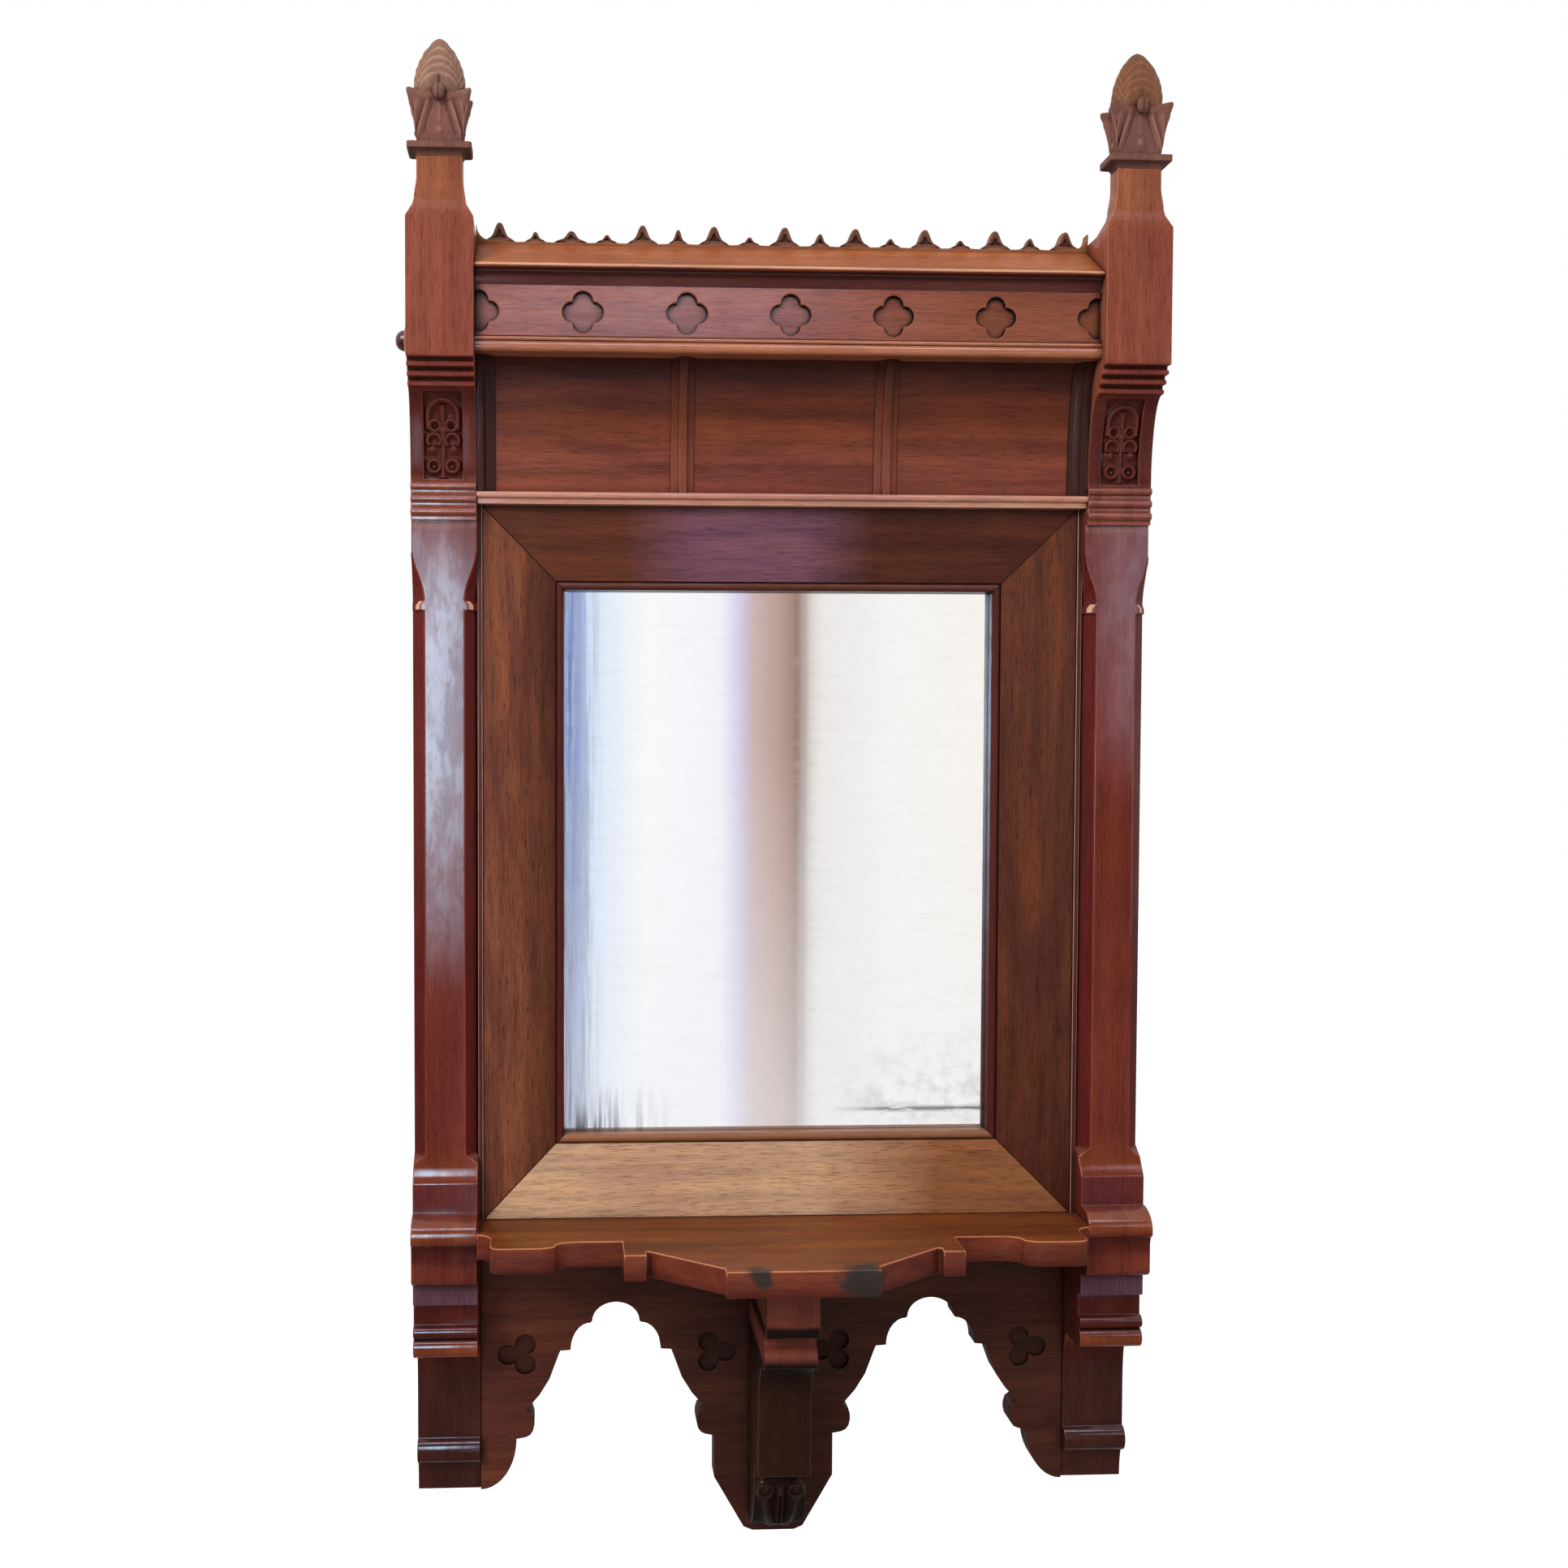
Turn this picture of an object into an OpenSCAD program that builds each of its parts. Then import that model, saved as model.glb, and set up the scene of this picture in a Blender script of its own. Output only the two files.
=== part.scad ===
// Gothic wall mirror: two moulded pillars with carved finials carry a splayed mirror frame,
// a cove and frieze under a spiked crest, and a shaped shelf on a pierced apron with a bracket.
// X runs to the right, Y runs back into the wall and Z runs up. The origin lies on the wall
// plane, behind the middle of the mirror, so the whole object stands at Y = 0 or less.

/* [Opening] */
// Clear width between the two pillars
opening_w = 510; // [430:1:620]
// Clear height from the shelf to the bead under the cove
opening_h = 600; // [500:1:740]

/* [Pillars] */
// Width of each pillar
pillar_w = 54; // [50:1:64]
// Wall to the front of the shaft
shaft_d = 53; // [50:1:60]
// Wall to the front of the top block
block_d = 94; // [91:1:104]
// Wall to the front of the hollow under the block
hollow_d = 76; // [70:1:80]
// Wall to the quirks between the three reeds
reed_d = 57; // [54:1:62]
// Height of one reed
reed_h = 6.5; // [5:0.1:8]
// Flat between two reeds
reed_gap = 3.9; // [2:0.1:5]
// How far a reed stands out
reed_out = 3; // [2:0.1:5]
// Top reed above the underside of the cove bead
reed_rise = 17; // [14:1:24]
// Height of one of the three steps under the block
step_h = 3.6; // [2.5:0.1:5]
// Gap between those steps
step_gap = 3.2; // [2:0.1:5]
// How far each step goes back from the one above
step_in = 4.5; // [3:0.1:5]
// Depth of the groove over each step
step_groove = 3; // [1.5:0.1:4]
// Underside of the block below the top of the cove panel
block_drop = 7; // [0:0.5:10]
// Width of the chamfer on each front corner of the shaft
chamfer_w = 10.5; // [6:0.5:13]
// Length of the tongue that ends a chamfer at the top
tongue_l = 43; // [24:1:50]
// Plain shaft above the tongue
tongue_drop = 22; // [15:1:60]
// Length of the plain stop at the foot of a chamfer
stop_l = 8; // [4:1:14]

/* [Pillar base] */
// Top of the base above the shelf
base_rise = 50; // [30:1:70]
// Height of the weathering over the plinth
weather_h = 14; // [8:1:20]
// Wall to the front of the plinth
plinth_d = 61; // [58:1:66]
// Height of the plinth face
plinth_h = 24; // [16:1:34]
// Wall to the front of the nosing
nosing_d = 81; // [78:1:88]
// Height of the swelling over the nosing
swell_h = 16; // [10:1:22]
// Height of the nosing fillet
nosing_h = 5; // [3:0.5:8]
// Height of the hollow under the nosing
nosing_hollow_h = 9; // [6:1:14]
// Wall to the front of the fascia
fascia_d = 76; // [72:1:78]
// Height of the fascia
fascia_h = 29; // [18:1:36]
// Wall to the front of the band under the fascia
band_d = 62; // [59:1:66]
// Height of that band
band_h = 19; // [14:1:28]
// Wall to the throat over the roll
throat_d = 56; // [52:1:58]
// Height of the throat
throat_h = 18; // [14:1:28]
// Height of the double roll
roll_h = 28; // [20:1:34]
// How far the roll stands out
roll_out = 6.5; // [4:0.5:9]
// Wall to the top of the scoop
scoop_d = 31; // [28:1:34]
// Wall to the back of the scoop
scoop_in_d = 22; // [21.5:0.5:24]
// Height of the scoop
scoop_h = 85; // [60:1:100]
// Height of the foot roll
foot_roll_h = 22; // [16:1:28]
// How far the foot roll stands out
foot_roll_out = 8; // [5:0.5:10]
// Wall to the toe of the pillar
toe_d = 17; // [14:1:20]
// Height of the foot under its roll
foot_h = 26; // [20:1:44]

/* [Neck and finial] */
// Top of the block above the valleys of the crest
block_rise = 3; // [0:0.5:8]
// Height of the weathering from block to neck
shoulder_h = 10; // [4:0.5:14]
// Height of the neck above the weathering
neck_h = 38; // [30:1:60]
// Width of the neck at its top
neck_w = 36.4; // [30:0.2:40]
// Front-to-back size of the neck at its top
neck_d = 16; // [14:0.5:24]
// How far the neck spreads at its foot
neck_flare = 2; // [1:0.2:4]
// Neck front behind the block front
neck_set = 4; // [3:0.5:8]
// Height of the collar
collar_h = 10.5; // [8:0.5:14]
// How far the collar stands out
collar_out = 7.4; // [5:0.2:10]
// Height of the leaf capital
capital_h = 40.5; // [30:0.5:50]
// How far the leaf tips stand out
leaf_out = 7.6; // [5:0.2:11]
// Radius of a curled leaf tip
leaf_r = 3.6; // [2.5:0.1:5]
// Width of the bud
bud_w = 37.6; // [30:0.2:44]
// Front-to-back size of the bud
bud_d = 23; // [18:0.5:30]
// Height of the bud above the capital
bud_h = 44; // [36:1:62]
// Diameter of the dowel in the finial
finial_dowel_dia = 8; // [6:0.5:10]
// Length of that dowel
finial_dowel_l = 28; // [20:1:36]

/* [Side boss] */
// Diameter of the turned boss on the outer side of each block
boss_dia = 26; // [18:1:34]
// How far the boss stands out
boss_out = 13; // [10:0.5:18]
// Thickness of its rim
boss_rim = 5; // [3:0.5:7]
// Diameter of its spigot
boss_spigot_dia = 9; // [6:0.5:12]
// Length of its spigot
boss_spigot_l = 14; // [10:1:20]
// Height of the boss above the underside of the block
boss_rise = 24; // [18:1:60]
// Wall to the middle of the boss
boss_y = 47; // [30:1:60]

/* [Cove] */
// Height of the bead between the cove and the mirror frame
bead_h = 10; // [7:0.5:14]
// Wall to the front of that bead
bead_d = 58; // [56:0.5:62]
// Height of the cove panel
cove_h = 107; // [80:1:140]
// Wall to the front of the cove panel at its foot
cove_foot_d = 49; // [46:1:51]
// Wall to the front of the cove panel at its head
cove_head_d = 68; // [64:1:72]
// Thickness of the cove panel
cove_t = 10; // [6:0.5:12]
// Width of a rib on the cove
rib_w = 19; // [14:1:26]
// How far a rib stands out
rib_out = 7; // [4:0.5:9]

/* [Frieze and cornice] */
// Height of the rail with two reeds under the frieze
frieze_rail_h = 12; // [10:0.5:20]
// Wall to the front of that rail
frieze_rail_d = 86; // [84:1:90]
// Front-to-back size of that rail
frieze_rail_w = 30; // [26:1:36]
// Height of the frieze board
frieze_h = 50; // [38:1:56]
// Wall to the front of the frieze
frieze_d = 83; // [78:1:86]
// Thickness of the frieze board
frieze_t = 14; // [10:1:18]
// Distance between two quatrefoils
quatrefoil_pitch = 84; // [60:1:120]
// Radius of one lobe of a quatrefoil
quatrefoil_r = 8; // [6:0.5:9]
// Lobe centre from the middle of a quatrefoil
quatrefoil_off = 8.6; // [6:0.2:10]
// Depth of the sunk ornament
sunk = 4; // [2:0.5:6]
// Size of the hollow moulding under the cornice
bed_h = 10; // [6:0.5:12]
// How far that moulding stands out
bed_out = 4; // [2:0.2:5]
// Height of the fillet under the cornice nosing
cornice_fillet_h = 2; // [2:0.5:10]
// How far that fillet stands out from the frieze
cornice_fillet_out = 4.4; // [3:0.2:6]
// Height of the cornice nosing
cornice_nose_h = 5; // [4:0.5:12]
// How far the nosing stands out from the fillet
cornice_nose_out = 3; // [2:0.5:5]
// Rise of the slope behind the nosing
cornice_rise = 27; // [18:1:34]
// Thickness of the top board
top_board_t = 12; // [10:0.5:16]

/* [Crest] */
// Wall to the front of the crest board
crest_d = 50; // [46:1:54]
// Thickness of the crest board
crest_t = 12; // [8:0.5:16]
// Crest valley above the head of the slope
crest_sill = 4; // [2:0.5:8]
// Distance between two large spikes
spike_pitch = 59; // [40:1:80]
// Half width of a large spike
spike_half = 8.8; // [6:0.2:12]
// Height of a large spike
spike_h = 15.5; // [10:0.5:22]
// Half width of a small spike
spikelet_half = 5.5; // [4:0.5:8]
// Height of a small spike
spikelet_h = 11; // [6:0.5:16]
// Radius of the sweep at each end
crest_end_r = 10; // [8:0.5:18]

/* [Mirror frame] */
// Width of the thin strip beside each pillar
strip_w = 4; // [2:0.5:8]
// Wall to the front of that strip
strip_d = 46; // [44.5:0.5:48]
// Width of the splayed boards
splay_w = 61; // [50:1:80]
// Wall to the outer edge of the splay
splay_outer_d = 44; // [40:1:45]
// Wall to the inner edge of the splay
splay_inner_d = 32; // [28:1:34]
// Wall to the back of the splayed boards
splay_back_d = 20; // [20:1:22]
// Width of the sight bead round the glass
sight_w = 7; // [5:0.5:10]
// How far the sight bead stands over the glass
sight_h = 13; // [9:0.5:15]

/* [Glass and back] */
// Thickness of the mirror glass
glass_t = 4; // [3:0.5:6]
// Glass hidden behind the splayed boards
glass_lap = 4; // [3:0.5:8]
// Thickness of the backing board
backing_t = 8; // [6:0.5:9]
// Lap of the backing board on its frame
backing_lap = 12; // [8:1:20]
// Length of one glazing block
glazing_block_l = 40; // [20:1:60]
// Width of one glazing block
glazing_block_w = 8; // [6:0.5:10]
// Distance between glazing blocks
glazing_block_pitch = 150; // [90:1:220]
// Thickness of the boards behind the cove
upper_back_t = 10; // [8:0.5:14]
// Height of the hanging rail
hanging_rail_h = 60; // [56:1:72]

/* [Shelf] */
// Thickness of the shelf
shelf_t = 21; // [18:0.5:26]
// Wall to the front of the middle block
shelf_mid_d = 170; // [150:1:200]
// Half width of the middle block
shelf_mid_half = 60; // [45:1:75]
// Wall to the front of the two teeth
shelf_tooth_d = 132; // [125:1:140]
// Wall to the front of the two end waves
shelf_end_d = 114; // [106:1:120]
// Wall to the recess between wave and tooth
shelf_recess_d = 100; // [94:1:104]
// How far the middle block steps out from the slanting run
shelf_step = 8; // [4:1:14]
// Shelf end from the pillar where it passes in front of it
shelf_shy = 12; // [6:1:18]

/* [Apron] */
// Thickness of the apron
apron_t = 20; // [16:1:21]
// Depth of the apron under the shelf
apron_h = 265; // [255:1:300]
// Board left between an arch and the pillar
arch_side_w = 31; // [26:1:40]
// Height of each arch
arch_h = 119; // [100:1:130]
// Top of each arch under the shelf
arch_drop = 61; // [50:1:66]
// Half width of the middle pendant
pendant_half = 52; // [44:1:58]
// Half width of the foot of the pendant
pendant_foot_half = 26; // [20:1:32]
// Height of the slanting foot of the pendant
pendant_cant_h = 48; // [30:1:55]
// Radius of one lobe of a trefoil
trefoil_r = 8.8; // [7:0.2:10]
// Lobe centre from the middle of a trefoil
trefoil_off = 10; // [8:0.2:11]
// Middle of the trefoils under the shelf
trefoil_drop = 106; // [96:1:112]

/* [Bracket] */
// Width of the bracket
bracket_w = 44.5; // [36:0.5:52]
// Wall to the front of the bracket head
bracket_d = 121; // [110:1:140]
// Height of the bracket head
bracket_head_h = 53; // [44:1:60]
// Height of the undercut below the head
bracket_neck_h = 12; // [8:1:16]
// Depth of that undercut
bracket_neck_in = 17; // [12:1:24]
// Height of the bracket roll
bracket_roll_h = 20; // [16:1:26]
// How far that roll stands out
bracket_roll_out = 8.5; // [6:0.5:12]
// Height of the hollow under the roll
bracket_hollow_h = 48; // [38:1:56]
// Wall to the bracket face under the hollow
bracket_face_d = 80; // [70:1:88]
// Height of that face
bracket_face_h = 54; // [44:1:64]
// Wall to the top of the carved leaf
bracket_leaf_d = 60; // [52:1:66]
// Height of the carved leaf
bracket_leaf_h = 62; // [50:1:66]
// Wall to the foot of the carved leaf
bracket_foot_d = 34; // [28:1:44]
// Radius of the two volutes of the leaf
volute_r = 9; // [6:0.5:10]

/* [Hanging plates] */
// End of the hanging rail to the middle of a hanging plate
plate_inset = 65; // [40:1:120]
// Width of a hanging plate
plate_w = 22; // [18:0.5:26]
// Height of a hanging plate
plate_h = 50; // [46:0.5:54]
// Thickness of a hanging plate
plate_t = 2.5; // [2:0.1:3.5]
// Radius of the hole that passes the screw head
keyhole_r = 5.5; // [4.5:0.1:6]
// Radius of the slot that holds the screw
keyslot_r = 2.6; // [2:0.1:3]
// Rise of the slot over the hole
keyslot_l = 11; // [9:0.5:13]
// Depth of the pocket behind the plate
pocket_t = 11; // [8:0.5:14]
// How far the pocket is wider than the hole in the plate
pocket_room = 1.2; // [0.5:0.1:2]

/* [Fixings] */
// Diameter of the joint dowels
dowel_dia = 6; // [5:0.5:7]
// Length of the joint dowels
dowel_l = 28; // [20:1:36]
// Diameter of the wood screws
screw_dia = 4; // [3:0.5:4.5]
// Diameter of their heads
screw_head_dia = 8; // [6.5:0.5:9]
// Height of their countersunk heads
screw_head_h = 2.5; // [2:0.1:3.5]
// Length of the frame screws
frame_screw_l = 30; // [26:1:32]
// Length of the bracket screws
bracket_screw_l = 50; // [36:1:56]
// Diameter of the plate screws
plate_screw_dia = 3; // [2.5:0.1:3.5]
// Diameter of the plate screw heads
plate_screw_head_dia = 5.6; // [4.6:0.2:6.4]
// Length of the plate screws
plate_screw_l = 14; // [10:1:17]
// Diameter of the backing brads
brad_dia = 1.6; // [1.2:0.1:2]
// Diameter of the brad heads
brad_head_dia = 3.4; // [2.6:0.2:4]
// Thickness of the brad heads
brad_head_t = 0.8; // [0.5:0.1:1.2]
// Length of the backing brads
brad_l = 14; // [11:0.5:16]

/* [Fits] */
// Clearance all round a dowel, spigot, screw or brad
fit = 0.1; // [0.05:0.01:0.2]
// Clearance round the glass and the backing board
glass_fit = 0.5; // [0.3:0.1:1]

/* [Hidden] */

// Overrun of a cut past the face it starts from
over = 1;
// Segments of a quarter curve, of a small bead and of a full circle
quarter_n = 10;
bead_n = 10;
round_fn = 40;

half_w = opening_w / 2;
top_z = opening_h / 2;
shelf_z = -top_z;
pillar_x = half_w + pillar_w / 2;

// Levels above the mirror
cove_z = top_z + bead_h;
rail_z = cove_z + cove_h;
frieze_z = rail_z + frieze_rail_h;
cornice_z = frieze_z + frieze_h;
top_board_z = cornice_z + top_board_t;
slope_z = cornice_z + cornice_fillet_h + cornice_nose_h;
crest_z = slope_z + cornice_rise + crest_sill;

// Levels of the pillar
block_top = crest_z + block_rise;
block_foot = rail_z - block_drop;
steps_foot = block_foot - 3 * (step_h + step_gap);
reed_top = top_z + reed_rise;
reed_foot = reed_top - 3 * reed_h - 3 * reed_gap;
base_top = shelf_z + base_rise;
plinth_top = base_top - weather_h;
plinth_foot = plinth_top - plinth_h;
nosing_top = plinth_foot - swell_h;
nosing_foot = nosing_top - nosing_h;
fascia_top = nosing_foot - nosing_hollow_h;
fascia_foot = fascia_top - fascia_h;
band_foot = fascia_foot - band_h;
throat_foot = band_foot - throat_h;
roll_foot = throat_foot - roll_h;
scoop_foot = roll_foot - scoop_h;
foot_roll_foot = scoop_foot - foot_roll_h;
pillar_foot = foot_roll_foot - foot_h;

// Neck and finial
shoulder_z = block_top + shoulder_h;
neck_z = shoulder_z + neck_h;
collar_z = neck_z + collar_h;
capital_z = collar_z + capital_h;
neck_y = -block_d + neck_set + neck_d / 2;

// Mirror frame
splay_x = half_w - strip_w;
sight_x = splay_x - splay_w;
sight_z = top_z - splay_w;
glass_x = sight_x + glass_lap;
glass_z = sight_z + glass_lap;
glass_back_d = splay_back_d - glass_t;
bay_x = glass_x + glass_fit;
bay_z = glass_z + glass_fit;
backing_x = bay_x + backing_lap;
backing_z = bay_z + backing_lap;

// Shelf and apron
apron_z = shelf_z - shelf_t;
apron_foot = apron_z - apron_h;
arch_half = (half_w - arch_side_w - pendant_half) / 2;
arch_x = pendant_half + arch_half;
arch_top = apron_z - arch_drop;
arch_foot = arch_top - arch_h;

// A double curve from a to b that is upright at both ends
curve_steps = 10;
function double_curve(a, b) = [for (k = [0:curve_steps]) let (t = k / curve_steps)
  [a[0] + (b[0] - a[0]) * t * t * (3 - 2 * t), a[1] + (b[1] - a[1]) * t]];
// Curves: each returns points between two corners of an ellipse's box
function leave_flat(a, b, n = quarter_n) =
  [for (i = [0:n]) [a[0] + (b[0] - a[0]) * sin(90 * i / n), a[1] + (b[1] - a[1]) * (1 - cos(90 * i / n))]];
function leave_upright(a, b, n = quarter_n) =
  [for (i = [0:n]) [a[0] + (b[0] - a[0]) * (1 - cos(90 * i / n)), a[1] + (b[1] - a[1]) * sin(90 * i / n)]];
// A bead of height h that stands out from depth d, going down from level z
function bead(d, z, h, out, n = bead_n) =
  [for (i = [0:n]) [-d - out * sin(180 * i / n), z - h * (1 - cos(180 * i / n)) / 2]];
// Mirror image of an open outline, in reverse order, so that both join up
function flipped(p) = [for (i = [len(p) - 1:-1:0]) [-p[i][0], p[i][1]]];

// Extrusions of a side outline [y, z] along X and of a front outline [x, z] along Y
module along_x(l) translate([-l / 2, 0, 0]) rotate([90, 0, 90]) linear_extrude(height = l) children();
module along_y(front, back) translate([0, -back, 0]) rotate([90, 0, 0])
  linear_extrude(height = front - back) children();
// A cylinder along X or Y
module rod_x(dia, l) rotate([0, 90, 0]) cylinder(h = l, r = dia / 2, center = true, $fn = round_fn);
module rod_y(dia, l) rotate([90, 0, 0]) cylinder(h = l, r = dia / 2, $fn = round_fn);
module both_sides() for (side = [-1, 1]) translate([side * half_w, 0, 0]) children();

// Countersunk screw that enters the work at the origin and points along -Y
module screw(dia, head_dia, head_h, l, grow = 0) {
  rotate([90, 0, 0]) rotate_extrude($fn = round_fn)
    polygon([[0, 0], [head_dia / 2 + grow, 0], [dia / 2 + grow, head_h], [dia / 2 + grow, l - dia / 2 + grow],
      [0, l + grow]]);
}

// Joint dowels between the pillars and what stands between them, as [wall distance, level]
rail_mid = hanging_rail_h / 4;
shelf_dowels = [[splay_back_d, shelf_z - shelf_t / 2], [shaft_d, shelf_z - shelf_t / 2]];
apron_dowels = [[apron_t / 2, apron_z - apron_h / 8], [apron_t / 2, apron_z - 3 * apron_h / 8]];
hanging_dowels = [[splay_back_d / 2, cornice_z - rail_mid], [splay_back_d / 2, cornice_z - 3 * rail_mid]];
rail_dowels = [[frieze_rail_d - frieze_rail_w / 2, rail_z + frieze_rail_h / 2]];
top_dowels = [[splay_back_d / 2, cornice_z + top_board_t / 2], [crest_d, cornice_z + top_board_t / 2]];
frame_dowel_places = concat(shelf_dowels, apron_dowels, hanging_dowels, rail_dowels, top_dowels);

module dowels_at(places, grow = 0) {
  for (p = places) both_sides() translate([0, -p[0], p[1]]) rod_x(dowel_dia + 2 * grow, dowel_l + 2 * grow);
}

// Pillars
function step_d(i) = block_d - (i + 1) * step_in;
steps_outline = [for (i = [0:2]) let (z = block_foot - i * (step_h + step_gap))
  each [[-step_d(i) + step_groove, z], [-step_d(i) + step_groove, z - step_gap], [-step_d(i), z - step_gap],
    [-step_d(i), z - step_gap - step_h]]];
reeds_outline = [for (i = [0:2]) let (z = reed_top - i * (reed_h + reed_gap))
  each concat(bead(reed_d, z, reed_h, reed_out), [[-reed_d, z - reed_h - reed_gap]])];
hollow_outline = leave_flat([-hollow_d, steps_foot], [-reed_d, reed_top]);
roll_split_share = 0.42;
fascia_round_share = 0.25;
base_outline = concat([[-shaft_d, reed_foot], [-shaft_d, base_top], [-plinth_d, plinth_top]],
  leave_flat([-plinth_d, plinth_foot], [-nosing_d, nosing_top]),
  leave_flat([-nosing_d, nosing_foot], [-fascia_d, fascia_top]),
  leave_upright([-fascia_d, fascia_foot + fascia_h * fascia_round_share], [-band_d, fascia_foot]),
  [[-band_d, band_foot], [-throat_d, band_foot]],
  bead(throat_d, throat_foot, roll_h * roll_split_share, roll_out),
  bead(throat_d, throat_foot - roll_h * roll_split_share, roll_h * (1 - roll_split_share), roll_out),
  leave_flat([-scoop_d, roll_foot], [-scoop_in_d, (roll_foot + scoop_foot) / 2]),
  bead(scoop_in_d, scoop_foot, foot_roll_h, foot_roll_out),
  leave_flat([-scoop_in_d, foot_roll_foot], [-toe_d, pillar_foot]));
pillar_outline = concat([[0, block_top], [-block_d, block_top], [-block_d, block_foot]], steps_outline,
  hollow_outline, reeds_outline, base_outline, [[0, pillar_foot]]);

// The chamfer with its tongue, in the plane across the corner: [outwards, up]
chamfer_in = chamfer_w / sqrt(2);
tongue_top = reed_foot - tongue_drop;
tongue_foot = tongue_top - tongue_l;
tongue_notch_share = 0.2;
notch_h = tongue_l * tongue_notch_share;
notch_out_share = 0.3;
chamfer_outline = concat([[over, base_top], [0, base_top], [-chamfer_in, base_top + stop_l],
  [-chamfer_in, tongue_foot - notch_h], [-chamfer_in * (1 - notch_out_share), tongue_foot - notch_h],
  [-chamfer_in * (1 - notch_out_share), tongue_foot - notch_h / 2], [-chamfer_in, tongue_foot]],
  double_curve([-chamfer_in, tongue_foot], [0, tongue_top]),
  [[over, tongue_top]]);

module shaft_chamfers() {
  for (side = [-1, 1]) translate([side * pillar_w / 2, -shaft_d, 0])
    rotate([0, 0, side < 0 ? -135 : -45]) rotate([90, 0, 0])
      translate([0, 0, -chamfer_w]) linear_extrude(height = 2 * chamfer_w) polygon(chamfer_outline);
}

// Carved scrolls in a sunk panel on the hollow under the block
panel_half_share = 0.29;
panel_margin_share = 0.06;
scroll_share = 0.42;
eye_share = 0.3;
panel_half = pillar_w * panel_half_share;
panel_h = steps_foot - reed_top;
panel_sunk = sunk * 0.6;
scroll_r = panel_half * scroll_share;
module scroll_pattern() {
  tiers = 3;
  tier_h = panel_h * (1 - 2 * panel_margin_share) / tiers;
  for (i = [0:tiers - 1]) translate([0, reed_top + panel_h * panel_margin_share + (i + 0.5) * tier_h])
    for (side = [-1, 1]) difference() {
      union() {
        translate([side * (scroll_r + scroll_r / 8), 0]) circle(r = scroll_r, $fn = round_fn);
        translate([0, -tier_h / 3]) circle(r = scroll_r * eye_share * 1.5, $fn = round_fn);
        translate([-scroll_r / 3, -tier_h / 3]) square([2 * scroll_r / 3, 2 * tier_h / 3]);
      }
      translate([side * (scroll_r + scroll_r / 4), 0]) circle(r = scroll_r * eye_share, $fn = round_fn);
    }
}
module scroll_panel_cut() {
  panel_top = steps_foot - panel_h * panel_margin_share;
  panel_foot = reed_top + panel_h * panel_margin_share;
  difference() {
    intersection() {
      along_x(2 * panel_half)
        polygon(concat([for (p = hollow_outline) [p[0] + panel_sunk, p[1]]],
          [[-block_d, reed_top], [-block_d, steps_foot]]));
      along_y(block_d + over, 0) translate([-panel_half, panel_foot])
        square([2 * panel_half, panel_top - panel_foot]);
    }
    along_y(block_d + over, 0) scroll_pattern();
  }
}

// A four-sided moulding on a rectangle: outline points are [outwards, level]. What stands out to the
// front and back is a share of what stands out to the sides.
shallow_share = 0.65;
module squared(w, d, outline, depth_share = 1) intersection() {
  side = [for (p = outline) [p[0] + w / 2, p[1]]];
  face = [for (p = outline) [p[0] * depth_share + d / 2, p[1]]];
  along_y(block_d, -block_d) polygon(concat(side, flipped(side)));
  along_x(2 * block_d) polygon(concat(face, flipped(face)));
}

shoulder_out = (pillar_w - neck_w) / 2;
shoulder_lip_share = 0.6;
module neck() {
  translate([0, neck_y, 0]) squared(neck_w, neck_d, concat(
    [[shoulder_out, block_top], [neck_flare * 1.6, shoulder_z]],
    double_curve([neck_flare, shoulder_z + shoulder_h / 2], [0, shoulder_z + neck_h * shoulder_lip_share]),
    [[0, neck_z]]),
    neck_set / shoulder_out);
}

module pillar(side) {
  difference() {
    translate([side * pillar_x, 0, 0]) difference() {
      union() {
        along_x(pillar_w) polygon(pillar_outline);
        neck();
      }
      shaft_chamfers();
      scroll_panel_cut();
      translate([0, neck_y, neck_z - finial_dowel_l / 2 - fit])
        cylinder(h = finial_dowel_l, r = finial_dowel_dia / 2 + fit, $fn = round_fn);
      translate([side * pillar_w / 2, -boss_y, block_foot + boss_rise])
        rod_x(boss_spigot_dia + 2 * fit, 2 * (boss_spigot_l + fit));
    }
    dowels_at(frame_dowel_places, fit);
  }
}
module pillar_left() color("#7d3a2a") pillar(-1);
module pillar_right() color("#7d3a2a") pillar(1);

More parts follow.
